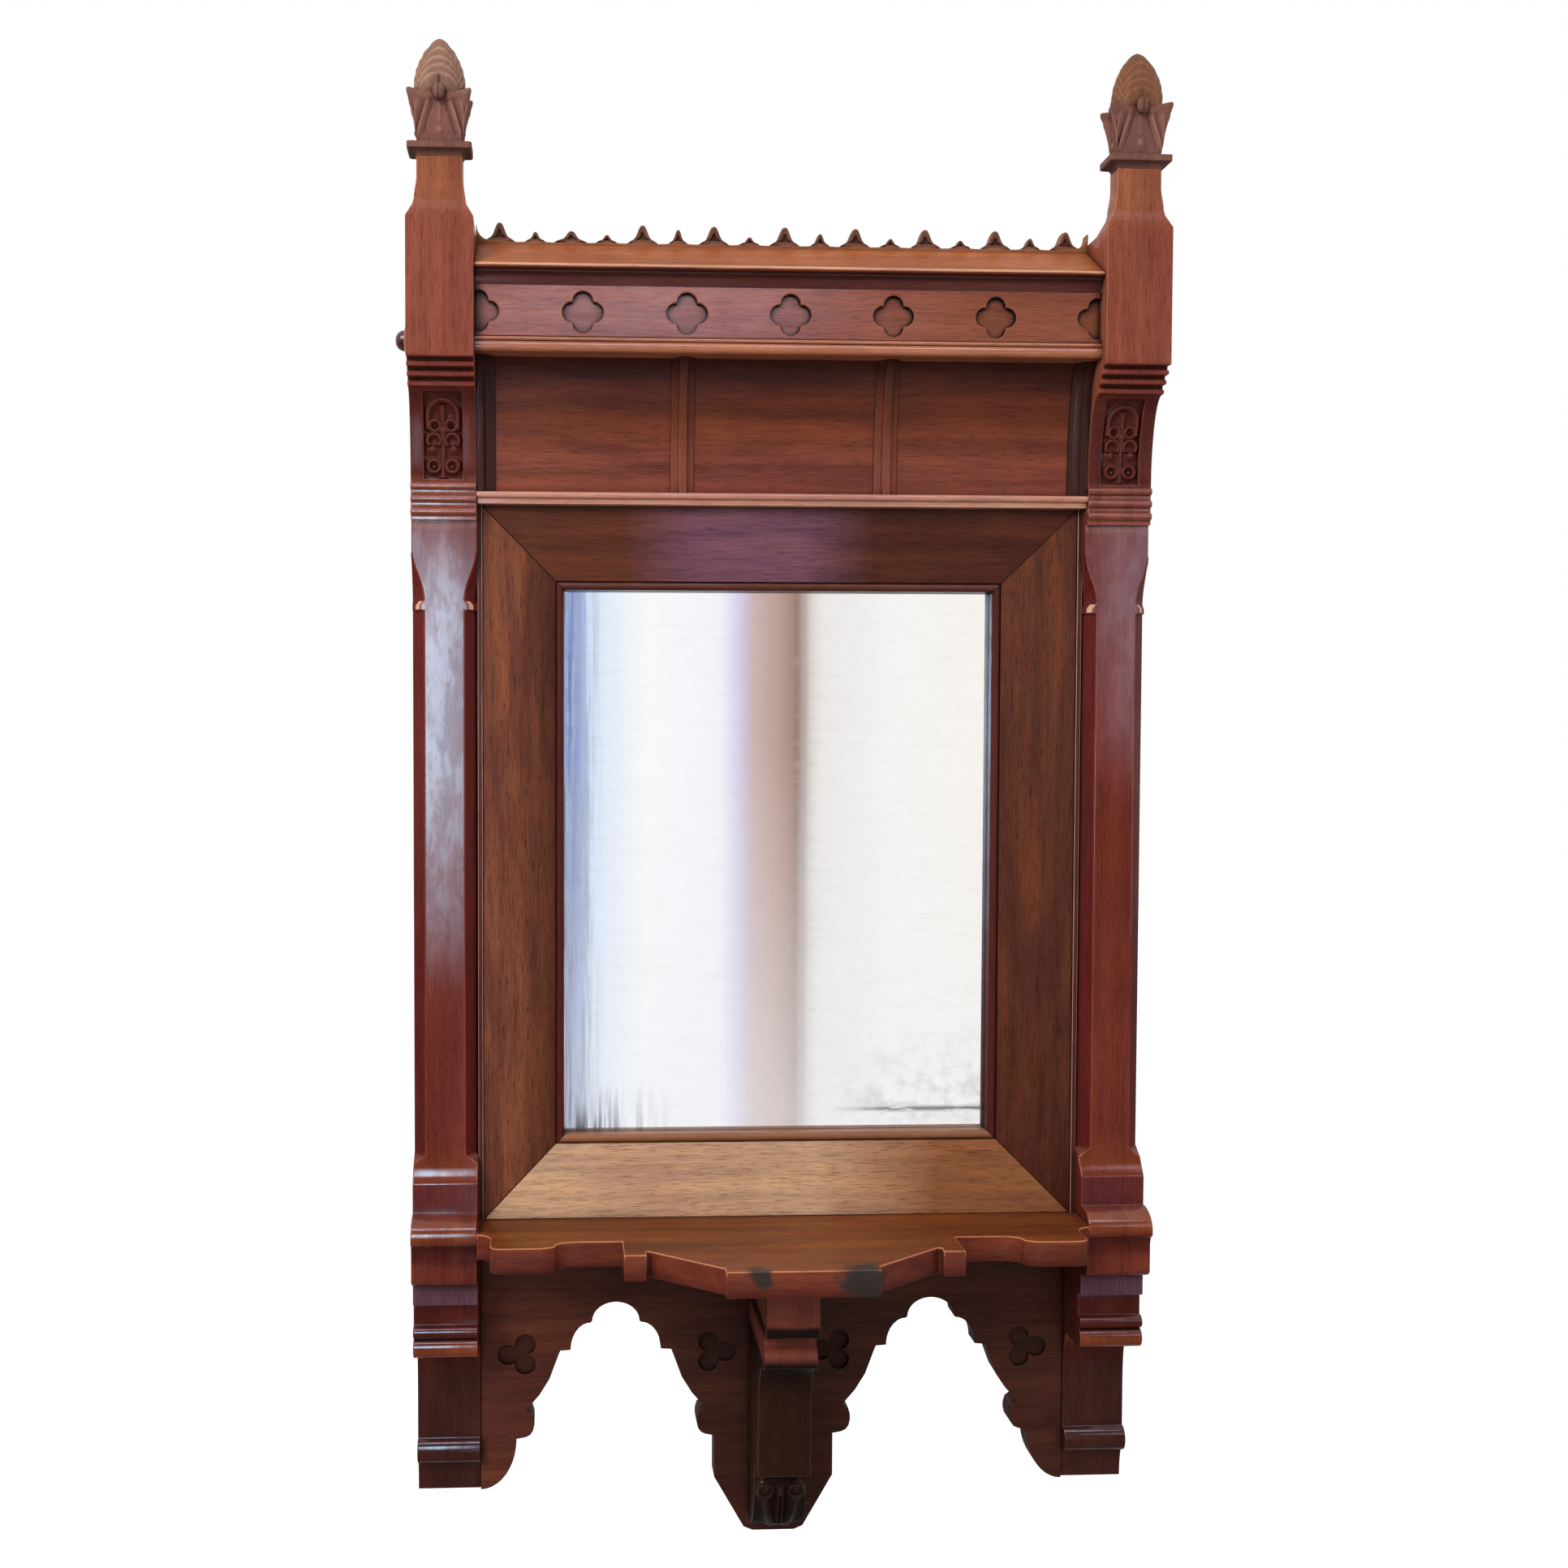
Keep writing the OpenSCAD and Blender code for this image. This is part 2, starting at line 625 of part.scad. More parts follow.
// Finials: collar, leaf capital and bud
bud_round_share = 1.22;
bud_outline_share = [[0.62, 0], [0.86, 0.12], [0.98, 0.26], [1, 0.4], [0.95, 0.54], [0.82, 0.69],
  [0.62, 0.82], [0.38, 0.92], [0.16, 0.98], [0, 1]];
capital_neck_share = 0.3;
collar_face_share = 0.5;
tip_in_share = 0.85;
module finial(side) {
  capital_neck = collar_z + capital_h * capital_neck_share;
  tip_z = capital_z - leaf_r;
  tip_x = neck_w / 2 + leaf_out - leaf_r * tip_in_share;
  tip_y = neck_d / 2 + leaf_out * shallow_share - leaf_r * tip_in_share;
  translate([side * pillar_x, neck_y, 0]) difference() {
    union() {
      squared(neck_w, neck_d, concat(
        leave_flat([0, neck_z], [collar_out, neck_z + collar_h * (1 - collar_face_share)]),
        [[collar_out, collar_z - reed_out / 2], [collar_out / 2, collar_z], [0, collar_z]],
        leave_upright([0, capital_neck], [leaf_out, tip_z]),
        [[leaf_out, capital_z - leaf_r / 2], [leaf_out / 2, capital_z]]), shallow_share);
      for (x = [-1, 1], y = [-1, 1]) translate([x * tip_x, y * tip_y, tip_z])
        sphere(r = leaf_r, $fn = round_fn);
      for (y = [-1, 1]) translate([0, y * tip_y, tip_z - leaf_r]) sphere(r = leaf_r, $fn = round_fn);
      intersection() {
        squared(0, 0, [for (s = bud_outline_share) [s[0] * bud_w / 2, capital_z + s[1] * bud_h]],
          bud_d / bud_w);
        scale([1, bud_d / bud_w, 1]) translate([0, 0, capital_z])
          cylinder(h = bud_h + over, r = bud_round_share * bud_w / 2, $fn = round_fn);
      }
    }
    translate([0, 0, neck_z - over])
      cylinder(h = finial_dowel_l / 2 + fit + over, r = finial_dowel_dia / 2 + fit, $fn = round_fn);
  }
}
module finial_left() color("#9c6240") finial(-1);
module finial_right() color("#9c6240") finial(1);
module finial_dowels() color("#c9a06a") for (side = [-1, 1]) translate([side * pillar_x, neck_y, neck_z])
  cylinder(h = finial_dowel_l, r = finial_dowel_dia / 2, center = true, $fn = round_fn);

// Turned bosses on the outer sides of the blocks
boss_outline_share = [[0.66, 0], [0.62, 0.35], [0.5, 0.68], [0.3, 0.9], [0, 1]];
module side_boss(side) {
  translate([side * (half_w + pillar_w), -boss_y, block_foot + boss_rise]) rotate([0, side * 90, 0])
    rotate_extrude($fn = round_fn) polygon(concat(
      [[0, -boss_spigot_l], [boss_spigot_dia / 2, -boss_spigot_l], [boss_spigot_dia / 2, 0],
        [boss_dia / 2, 0], [boss_dia / 2, boss_rim / 2], [boss_dia / 2 - boss_rim / 2, boss_rim]],
      [for (s = boss_outline_share) [s[0] * boss_dia / 2, boss_rim + s[1] * (boss_out - boss_rim)]]));
}
module side_boss_left() color("#7d3a2a") side_boss(-1);
module side_boss_right() color("#7d3a2a") side_boss(1);

// Crest board: large and small spikes by turns, some of them worn down, between scallops
spike_outline_share = [[-1, 0], [-0.68, 0.1], [-0.46, 0.3], [-0.36, 0.6], [-0.22, 0.88], [0, 1], [0.22, 0.88],
  [0.36, 0.6], [0.46, 0.3], [0.68, 0.1], [1, 0]];
spike_wear_share = [1, 0.55, 0.96, 0.93, 0.93, 0.94, 0.95, 0.94, 0.92];
spikelet_wear_share = [0.6, 0.45, 1, 0.4, 0.8, 0.5, 0.45, 0.7, 0.6, 0.6];
spike_n = floor((half_w - crest_end_r - spike_half) / spike_pitch);
spikelet_n = floor((half_w - crest_end_r - spikelet_half) / spike_pitch - 0.5);
function spike_at(x, half, h) = [for (s = spike_outline_share) [x + s[0] * half, crest_z + s[1] * h]];
function crest_teeth() = [for (i = [-spike_n:spike_n]) each concat(
  spike_at(i * spike_pitch, spike_half, spike_h * spike_wear_share[(i + spike_n) % len(spike_wear_share)]),
  i < spikelet_n + 1 && i + 0.5 < spikelet_n + 1 ? spike_at((i + 0.5) * spike_pitch, spikelet_half,
    spikelet_h * spikelet_wear_share[(i + spike_n) % len(spikelet_wear_share)]) : [])];
first_spikelet = -(spikelet_n + 0.5) * spike_pitch < -spike_n * spike_pitch
  ? spike_at(-(spikelet_n + 0.5) * spike_pitch, spikelet_half, spikelet_h * spikelet_wear_share[0]) : [];
crest_end_share = 1.3;
crest_end_h = crest_end_r * crest_end_share;
triangle_share = [[-0.34, 0.06], [0.34, 0.06], [0, 0.6]];
module crest() color("#8c5235") difference() {
  along_y(crest_d, crest_d - crest_t) polygon(concat([[-half_w, top_board_z]],
    leave_upright([-half_w, crest_z + crest_end_h], [-half_w + crest_end_r, crest_z]), first_spikelet,
    crest_teeth(), leave_flat([half_w - crest_end_r, crest_z], [half_w, crest_z + crest_end_h]),
    [[half_w, top_board_z]]));
  for (i = [-spike_n:spike_n]) translate([i * spike_pitch, 0, crest_z])
    along_y(crest_d + over, crest_d - sunk / 2)
      polygon([for (s = triangle_share) [s[0] * spike_half, s[1] * spike_h]]);
}

// Cornice: fillet, nosing and slope
cornice_d = frieze_d + cornice_fillet_out;
frieze_back = frieze_d - frieze_t;
module cornice() color("#b0643c") along_x(opening_w) polygon(concat(
  [[-frieze_back, cornice_z], [-cornice_d, cornice_z], [-cornice_d, cornice_z + cornice_fillet_h]],
  bead_up(cornice_d, cornice_z + cornice_fillet_h, cornice_nose_h, cornice_nose_out),
  [[-crest_d, slope_z + cornice_rise], [-crest_d, top_board_z], [-frieze_back, top_board_z]]));
function bead_up(d, z, h, out, n = bead_n) =
  [for (i = [0:n]) [-d - out * sin(180 * i / n), z + h * (1 - cos(180 * i / n)) / 2]];

module top_board() color("#7a4a30") difference() {
  translate([-half_w, -frieze_back, cornice_z]) cube([opening_w, frieze_back, top_board_t]);
  dowels_at(top_dowels, fit);
}

module bed_mould() color("#8a4a34") along_x(opening_w) polygon(concat([[-frieze_d, cornice_z]],
  leave_upright([-frieze_d, cornice_z - bed_h], [-frieze_d - bed_out, cornice_z])));

// Frieze with sunk quatrefoils
module foils(n, r, off, turn = 0) union() {
  for (i = [0:n - 1]) rotate([0, 0, turn + i * 360 / n]) translate([off, 0]) circle(r = r, $fn = round_fn);
  circle(r = off * 0.8, $fn = round_fn);
}
quatrefoil_n = floor(half_w / quatrefoil_pitch);
module frieze() color("#9a5940") difference() {
  translate([-half_w, -frieze_d, frieze_z]) cube([opening_w, frieze_t, frieze_h]);
  for (i = [-quatrefoil_n:quatrefoil_n])
    translate([i * quatrefoil_pitch, 0, frieze_z + (frieze_h - bed_h) / 2])
      along_y(frieze_d + over, frieze_d - sunk) foils(4, quatrefoil_r, quatrefoil_off);
}

rail_top_share = 0.3;
module frieze_rail() color("#a2603f") difference() {
  along_x(opening_w) polygon(concat([[-frieze_rail_d + frieze_rail_w, rail_z + frieze_rail_h],
    [-frieze_rail_d + reed_out, rail_z + frieze_rail_h]],
    bead(frieze_rail_d - reed_out, rail_z + frieze_rail_h, frieze_rail_h * rail_top_share, reed_out / 2),
    bead(frieze_rail_d - reed_out, rail_z + frieze_rail_h * (1 - rail_top_share),
      frieze_rail_h * (1 - rail_top_share), reed_out),
    [[-frieze_rail_d + frieze_rail_w, rail_z]]));
  dowels_at(rail_dowels, fit);
}

// Glue blocks in the corner behind the frieze
corner_block_share = 0.24;
corner_block_l = glazing_block_l;
module corner_blocks() color("#c9a06a") for (i = [-1:1]) translate([i * opening_w / 3, 0, 0])
  along_x(corner_block_l) polygon([[-frieze_back, cornice_z],
    [-frieze_back + frieze_back * corner_block_share, cornice_z],
    [-frieze_back, cornice_z - frieze_back * corner_block_share]]);

// Cove panel with its ribs; both follow the same curve
cove_curve = leave_upright([-cove_foot_d, cove_z], [-cove_head_d, rail_z], quarter_n + 2);
module cove_panel() color("#7a3a28") along_x(opening_w) polygon(concat(cove_curve,
  [for (i = [len(cove_curve) - 1:-1:0]) [cove_curve[i][0] + cove_t, cove_curve[i][1]]]));

// The two middle ribs part the cove into thirds. A rib is lofted up the curve from its plan
// outline: [across, outwards].
rib_x = opening_w / 6;
rib_outline_share = [[-0.5, 0], [-0.5, 0.2], [-0.36, 0.28], [-0.22, 0.55], [-0.16, 1], [0.16, 1],
  [0.22, 0.55], [0.36, 0.28], [0.5, 0.2], [0.5, 0]];
end_rib_outline_share = [[-0.5, 0], [-0.5, 1], [-0.2, 1], [-0.1, 0.55], [0.1, 0.28], [0.3, 0.2], [0.3, 0]];
module rib(outline_share) {
  m = len(outline_share);
  n = len(cove_curve);
  points = [for (c = cove_curve, s = outline_share) [s[0] * rib_w, c[0] - s[1] * rib_out, c[1]]];
  sides = [for (i = [0:n - 2], j = [0:m - 1]) let (k = (j + 1) % m)
    each [[i * m + j, (i + 1) * m + j, (i + 1) * m + k], [i * m + j, (i + 1) * m + k, i * m + k]]];
  foot = [[for (j = [0:m - 1]) j]];
  head = [[for (j = [m - 1:-1:0]) (n - 1) * m + j]];
  polyhedron(points = points, faces = concat(sides, foot, head));
}
module cove_rib_left() color("#6b3222") translate([-rib_x, 0, 0]) rib(rib_outline_share);
module cove_rib_right() color("#6b3222") translate([rib_x, 0, 0]) rib(rib_outline_share);
module end_rib_left() color("#6b3222") translate([-half_w + rib_w / 2, 0, 0]) rib(end_rib_outline_share);
module end_rib_right() color("#6b3222") mirror([1, 0, 0]) translate([-half_w + rib_w / 2, 0, 0])
  rib(end_rib_outline_share);

fillet_share = 0.45;
module cove_bead() color("#a2603f") along_x(opening_w) polygon(concat(
  [[-upper_back_t, cove_z], [-bead_d + bead_h * fillet_share / 2, cove_z]],
  bead(bead_d - bead_h * fillet_share / 2, cove_z, bead_h * (1 - fillet_share), bead_h * fillet_share / 2),
  [[-bead_d + reed_out, cove_z - bead_h * (1 - fillet_share)], [-bead_d + reed_out, top_z],
    [-upper_back_t, top_z]]));

// Splayed frame
module edge_strip(side) translate([side * (half_w - strip_w / 2) - strip_w / 2, -strip_d, shelf_z])
  cube([strip_w, strip_d - splay_back_d, opening_h]);
module edge_strip_left() color("#5a2c1e") edge_strip(-1);
module edge_strip_right() color("#5a2c1e") edge_strip(1);

// Outline of a mitred side between two nested rectangles, its outer half sizes ox and oz
module mitred(ox, oz, w) polygon([[-ox, oz], [ox, oz], [ox - w, oz - w], [-ox + w, oz - w]]);
splay_outline = [[-splay_back_d, 0], [-splay_outer_d, 0], [-splay_inner_d, -splay_w],
  [-splay_back_d, -splay_w]];
module splay_level() intersection() {
  translate([0, 0, top_z]) along_x(opening_w) polygon(splay_outline);
  along_y(block_d, 0) mitred(splay_x, top_z, splay_w);
}
module splay_upright() intersection() {
  translate([splay_x, 0, 0]) rotate([0, 90, 0]) along_x(opening_h) polygon(splay_outline);
  along_y(block_d, 0) rotate([0, 0, -90]) mitred(top_z, splay_x, splay_w);
}
module turned(a) rotate([0, a, 0]) children();
module splay_screws(grow) for (p = splay_screw_places) translate([p[0], 0, p[1]])
  screw(screw_dia, screw_head_dia, screw_head_h, frame_screw_l, grow);
splay_screw_places = concat(
  [for (x = [-1, 1], z = [-0.75, 0, 0.75]) [x * (backing_x + splay_x) / 2, z * sight_z]],
  [for (x = [-0.6, 0.6], z = [-1, 1]) [x * sight_x, z * (backing_z + top_z) / 2]]);
module splay_top() color("#6a3826") difference() {
  splay_level();
  splay_screws(fit);
}
module splay_bottom() color("#b08660") difference() {
  turned(180) splay_level();
  splay_screws(fit);
}
module splay_left() color("#7a4a2e") difference() {
  mirror([1, 0, 0]) splay_upright();
  splay_screws(fit);
}
module splay_right() color("#7a4a2e") difference() {
  splay_upright();
  splay_screws(fit);
}

// Sight bead: a mitred half round that stands on the glass inside the splay
sight_front_d = splay_back_d + sight_h;
sight_round = sight_w / 2;
sight_outline = concat([[-splay_back_d, 0], [-sight_front_d + sight_round, 0]],
  [for (i = [0:bead_n]) [-sight_front_d + sight_round - sight_round * sin(180 * i / bead_n),
    -sight_w * (1 - cos(180 * i / bead_n)) / 2]], [[-splay_back_d, -sight_w]]);
module sight_level() intersection() {
  translate([0, 0, sight_z]) along_x(opening_w) polygon(sight_outline);
  along_y(block_d, 0) mitred(sight_x, sight_z, sight_w);
}
module sight_upright() intersection() {
  translate([sight_x, 0, 0]) rotate([0, 90, 0]) along_x(opening_h) polygon(sight_outline);
  along_y(block_d, 0) rotate([0, 0, -90]) mitred(sight_z, sight_x, sight_w);
}
module sight_bead_top() color("#8a5236") sight_level();
module sight_bead_bottom() color("#8a5236") turned(180) sight_level();
module sight_bead_left() color("#8a5236") mirror([1, 0, 0]) sight_upright();
module sight_bead_right() color("#8a5236") sight_upright();

// Glass and what holds it from behind
module mirror_glass() color("#dfe6ea") translate([-glass_x, -splay_back_d, -glass_z])
  cube([2 * glass_x, glass_t, 2 * glass_z]);
block_t = glass_back_d - backing_t;
blocks_z = floor((2 * glass_z - glazing_block_l) / glazing_block_pitch / 2);
blocks_x = floor((2 * glass_x - glazing_block_l) / glazing_block_pitch / 2);
module glazing_block(l, h) translate([-l / 2, -glass_back_d, -h / 2]) cube([l, block_t, h]);
module glazing_blocks() color("#c9a06a") {
  for (side = [-1, 1], i = [-blocks_z:blocks_z])
    translate([side * (bay_x - glazing_block_w / 2), 0, i * glazing_block_pitch])
      glazing_block(glazing_block_w, glazing_block_l);
  for (side = [-1, 1], i = [-blocks_x:blocks_x])
    translate([i * glazing_block_pitch, 0, side * (bay_z - glazing_block_w / 2)])
      glazing_block(glazing_block_l, glazing_block_w);
}

brad_rows = 2;
brad_x = backing_x - backing_lap / 2;
brad_z = backing_z - backing_lap / 2;
brad_places = concat(
  [for (x = [-1, 1], i = [-brad_rows:brad_rows]) [x * brad_x, i * brad_z * 0.8 / brad_rows]],
  [for (z = [-1, 1], i = [-1:1]) [i * brad_x * 0.7, z * brad_z]]);
module brads(grow = 0) for (p = brad_places) translate([p[0], 0, p[1]]) {
  rod_y(brad_head_dia + 2 * grow, brad_head_t + grow);
  rod_y(brad_dia + 2 * grow, brad_l + grow);
}
module backing_brads() color("#6e6a64") brads();
module backing_board() color("#a98058") difference() {
  translate([glass_fit - backing_x, -backing_t, glass_fit - backing_z])
    cube([2 * (backing_x - glass_fit), backing_t, 2 * (backing_z - glass_fit)]);
  brads(fit);
}

// Frame behind the splay, with a rebate for the backing board
module backing_rebate() {
  translate([-bay_x, -splay_back_d - over, -bay_z]) cube([2 * bay_x, splay_back_d + 2 * over, 2 * bay_z]);
  translate([-backing_x, -backing_t, -backing_z]) cube([2 * backing_x, backing_t + over, 2 * backing_z]);
}
module back_frame_cuts() {
  backing_rebate();
  brads(fit);
  splay_screws(fit);
}
module back_stile(side) difference() {
  translate([side * (half_w + bay_x) / 2 - (half_w - bay_x) / 2, -splay_back_d, shelf_z])
    cube([half_w - bay_x, splay_back_d, opening_h]);
  back_frame_cuts();
}
module back_rail(side) difference() {
  translate([-bay_x, -splay_back_d, side * (top_z + bay_z) / 2 - (top_z - bay_z) / 2])
    cube([2 * bay_x, splay_back_d, top_z - bay_z]);
  back_frame_cuts();
}
module back_stile_left() color("#b58c5e") back_stile(-1);
module back_stile_right() color("#b58c5e") back_stile(1);
module back_rail_top() color("#b58c5e") back_rail(1);
module back_rail_bottom() color("#b58c5e") back_rail(-1);
module frame_screws() color("#8a8378") splay_screws(0);

// Closing board and hanging rail behind the cove and the frieze
hanging_z = cornice_z - hanging_rail_h;
module upper_back() color("#b58c5e") translate([-half_w, -upper_back_t, top_z])
  cube([opening_w, upper_back_t, hanging_z - top_z]);

// Keyhole plates let into the back of the hanging rail
plate_x = half_w - plate_inset;
plate_z = hanging_z + hanging_rail_h / 2;
keyhole_z = plate_z - keyslot_l / 2;
plate_screw_z = plate_h / 2 - plate_screw_head_dia;
module keyhole(r_hole, r_slot) {
  circle(r = r_hole, $fn = round_fn);
  translate([0, keyslot_l]) circle(r = r_slot, $fn = round_fn);
  translate([-r_slot, 0]) square([2 * r_slot, keyslot_l]);
}
module plate_screws_at(side, grow = 0) for (z = [-1, 1])
  translate([side * plate_x, 0, plate_z + z * plate_screw_z])
    screw(plate_screw_dia, plate_screw_head_dia, screw_head_h, plate_screw_l, grow);
module hanging_plate(side) difference() {
  translate([side * plate_x - plate_w / 2, -plate_t, plate_z - plate_h / 2])
    cube([plate_w, plate_t, plate_h]);
  translate([side * plate_x, 0, keyhole_z]) along_y(plate_t + over, -over)
    keyhole(keyhole_r, keyslot_r);
  plate_screws_at(side, fit);
}
module hanging_plate_left() color("#b8923c") hanging_plate(-1);
module hanging_plate_right() color("#b8923c") hanging_plate(1);
module plate_screws() color("#b8923c") for (side = [-1, 1]) plate_screws_at(side);
module hanging_rail() color("#b58c5e") difference() {
  translate([-half_w, -splay_back_d, hanging_z]) cube([opening_w, splay_back_d, hanging_rail_h]);
  for (side = [-1, 1]) {
    translate([side * plate_x - plate_w / 2 - fit, -plate_t, plate_z - plate_h / 2 - fit])
      cube([plate_w + 2 * fit, plate_t + over, plate_h + 2 * fit]);
    translate([side * plate_x, 0, keyhole_z]) along_y(plate_t + pocket_t, 0)
      keyhole(keyhole_r + pocket_room, keyhole_r + pocket_room);
    plate_screws_at(side, fit);
  }
  dowels_at(hanging_dowels, fit);
}

// Shelf: middle block, slanting runs, teeth, recesses and end waves
tooth_half_share = 0.15;
tooth_share = 2.12;
run_share = 1.92;
tooth_half = shelf_mid_half * tooth_half_share;
tooth_x = shelf_mid_half * tooth_share;
run_x = shelf_mid_half * run_share;
shelf_end_x = half_w - shelf_shy;
wave_x = (tooth_x + tooth_half + shelf_end_x) / 2;
wave_half = (shelf_end_x - tooth_x - tooth_half) / 6;
wave_mid_d = (shelf_recess_d + shelf_end_d) / 2;
run_d = shelf_tooth_d - shelf_step;
shelf_half_outline = concat(
  [[shelf_mid_half, -shelf_mid_d], [shelf_mid_half, -shelf_mid_d + shelf_step], [run_x, -run_d],
    [tooth_x - tooth_half, -run_d], [tooth_x - tooth_half, -shelf_tooth_d],
    [tooth_x + tooth_half, -shelf_tooth_d], [tooth_x + tooth_half, -shelf_recess_d]],
  leave_flat([wave_x - wave_half, -shelf_recess_d], [wave_x, -wave_mid_d]),
  leave_upright([wave_x, -wave_mid_d], [wave_x + wave_half, -shelf_end_d]),
  leave_flat([shelf_end_x - shelf_step, -shelf_end_d], [shelf_end_x, -shelf_end_d + shelf_step]),
  leave_upright([shelf_end_x, -shelf_recess_d + shelf_step], [half_w, -nosing_d]), [[half_w, 0]]);
module shelf() color("#84502c") difference() {
  translate([0, 0, apron_z]) linear_extrude(height = shelf_t)
    polygon(concat(shelf_half_outline, flipped(shelf_half_outline)));
  dowels_at(shelf_dowels, fit);
}

// Apron: half outline of an arch from its top, as shares of its half width and its height
arch_cusp_share = [0.238, 0.14];
arch_foil_share = [0.455, 0.35];
arch_ledge_share = [0.56, 0.355];
arch_haunch_share = [[0.585, 0.4], [0.667, 0.56], [0.77, 0.68], [0.898, 0.785]];
arch_knob_share = [[0.84, 0.815], [0.822, 0.86], [0.82, 0.9], [0.835, 0.945], [0.865, 0.975],
  [0.91, 0.99], [0.985, 1]];
function arch_point(s) = [s[0] * arch_half, arch_top - s[1] * arch_h];
arch_half_outline = concat(
  leave_flat([0, arch_top], arch_point([arch_cusp_share[0], arch_cusp_share[1]])),
  leave_flat(arch_point([arch_cusp_share[0] * 1.08, arch_cusp_share[1] * 1.08]), arch_point(arch_foil_share)),
  [arch_point(arch_ledge_share)], [for (s = arch_haunch_share) arch_point(s)],
  [for (s = arch_knob_share) arch_point(s)], [[arch_half, arch_foot]]);
arch_outline = concat(arch_half_outline, [[arch_half, arch_foot - over], [-arch_half, arch_foot - over]],
  flipped(arch_half_outline));
foot_lobe_z = max(pillar_foot, apron_foot);
pendant_outline = [[pendant_half, arch_foot], [pendant_half, apron_foot + pendant_cant_h],
  [pendant_foot_half, apron_foot + pendant_foot_half / 8], [pendant_foot_half * 0.7, apron_foot]];
lobe_outline = leave_flat([half_w, foot_lobe_z], [half_w - arch_side_w, arch_foot]);
trefoil_x = pendant_half;
trefoil_side_x = half_w - arch_side_w - trefoil_off / 4;
module apron() color("#5c2c20") difference() {
  along_y(apron_t, 0) difference() {
    polygon(concat([[half_w, apron_z]], lobe_outline, [[arch_x, arch_foot]], pendant_outline,
      flipped(pendant_outline), [[-arch_x, arch_foot]], flipped(lobe_outline), [[-half_w, apron_z]]));
    for (side = [-1, 1]) translate([side * arch_x, 0]) polygon(arch_outline);
  }
  for (side = [-1, 1], x = [trefoil_x, trefoil_side_x])
    translate([side * x, 0, apron_z - trefoil_drop]) along_y(apron_t + over, apron_t - sunk)
      foils(3, trefoil_r, trefoil_off, side * x == trefoil_x || side * x == -trefoil_side_x ? 180 : 0);
  dowels_at(apron_dowels, fit);
  bracket_screws_at(fit);
}

// Centre bracket
head_foot = apron_z - bracket_head_h;
roll_top = head_foot - bracket_neck_h;
bracket_roll_z = roll_top - bracket_roll_h;
hollow_foot = bracket_roll_z - bracket_hollow_h;
face_foot = hollow_foot - bracket_face_h;
leaf_foot = face_foot - bracket_leaf_h;
bracket_neck_d = bracket_d - bracket_neck_in;
bracket_outline = concat([[-apron_t, apron_z], [-bracket_d, apron_z], [-bracket_d, head_foot],
  [-bracket_neck_d, head_foot]], bead(bracket_neck_d, roll_top, bracket_roll_h, bracket_roll_out),
  leave_flat([-bracket_neck_d, bracket_roll_z], [-bracket_face_d, hollow_foot]),
  [[-bracket_face_d, face_foot], [-bracket_leaf_d, face_foot]],
  leave_upright([-bracket_leaf_d, face_foot], [-bracket_foot_d, leaf_foot]), [[-apron_t, leaf_foot]]);
module centre_bracket() color("#54281c") difference() {
  union() {
    along_x(bracket_w) polygon(bracket_outline);
    for (side = [-1, 1]) translate([side * (bracket_w / 2 - volute_r), -bracket_leaf_d + volute_r / 2,
      face_foot - 2 * volute_r]) sphere(r = volute_r, $fn = round_fn);
  }
  bracket_screws_at(fit);
}
bracket_screw_places = [apron_z - bracket_head_h / 2, hollow_foot];
module bracket_screws_at(grow = 0) for (z = bracket_screw_places) translate([0, 0, z])
  screw(screw_dia, screw_head_dia, screw_head_h, bracket_screw_l, grow);
module bracket_screws() color("#8a8378") bracket_screws_at();
module frame_dowels() color("#c9a06a") dowels_at(frame_dowel_places);

pillar_left();
pillar_right();
finial_left();
finial_right();
finial_dowels();
side_boss_left();
side_boss_right();
crest();
cornice();
top_board();
bed_mould();
frieze();
frieze_rail();
corner_blocks();
cove_panel();
cove_rib_left();
cove_rib_right();
end_rib_left();
end_rib_right();
cove_bead();
edge_strip_left();
edge_strip_right();
splay_top();
splay_bottom();
splay_left();
splay_right();
sight_bead_top();
sight_bead_bottom();
sight_bead_left();
sight_bead_right();
mirror_glass();
glazing_blocks();
backing_board();
backing_brads();
back_stile_left();
back_stile_right();
back_rail_top();
back_rail_bottom();
upper_back();
hanging_rail();
hanging_plate_left();
hanging_plate_right();
plate_screws();
frame_screws();
shelf();
apron();
centre_bracket();
bracket_screws();
frame_dowels();
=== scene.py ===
"""A gothic wall mirror in old mahogany: worn joinery, carved finials, scroll panels and bracket leaf,
a spiked crest, a spotted mirror and a plain studio. All lengths are in metres."""
import math

import bmesh
import bpy
from mathutils import Matrix, Vector
from mathutils.bvhtree import BVHTree


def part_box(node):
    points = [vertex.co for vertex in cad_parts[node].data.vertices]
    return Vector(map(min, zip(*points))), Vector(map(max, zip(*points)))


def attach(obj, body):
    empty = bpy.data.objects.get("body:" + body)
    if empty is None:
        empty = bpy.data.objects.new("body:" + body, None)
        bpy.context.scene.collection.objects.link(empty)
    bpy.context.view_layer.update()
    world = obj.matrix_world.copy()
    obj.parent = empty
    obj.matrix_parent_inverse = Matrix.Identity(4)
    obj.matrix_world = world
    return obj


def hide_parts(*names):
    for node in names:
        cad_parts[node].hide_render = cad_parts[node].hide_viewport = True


bl_info = {
    "name": "Gothic wall mirror",
    "version": (1, 0, 0),
    "blender": (4, 5, 0),
    "location": "3D View > Sidebar > Gothic mirror",
    "description": "Worn joinery, carving, finishes and studio of a gothic wall mirror",
    "category": "Object",
}

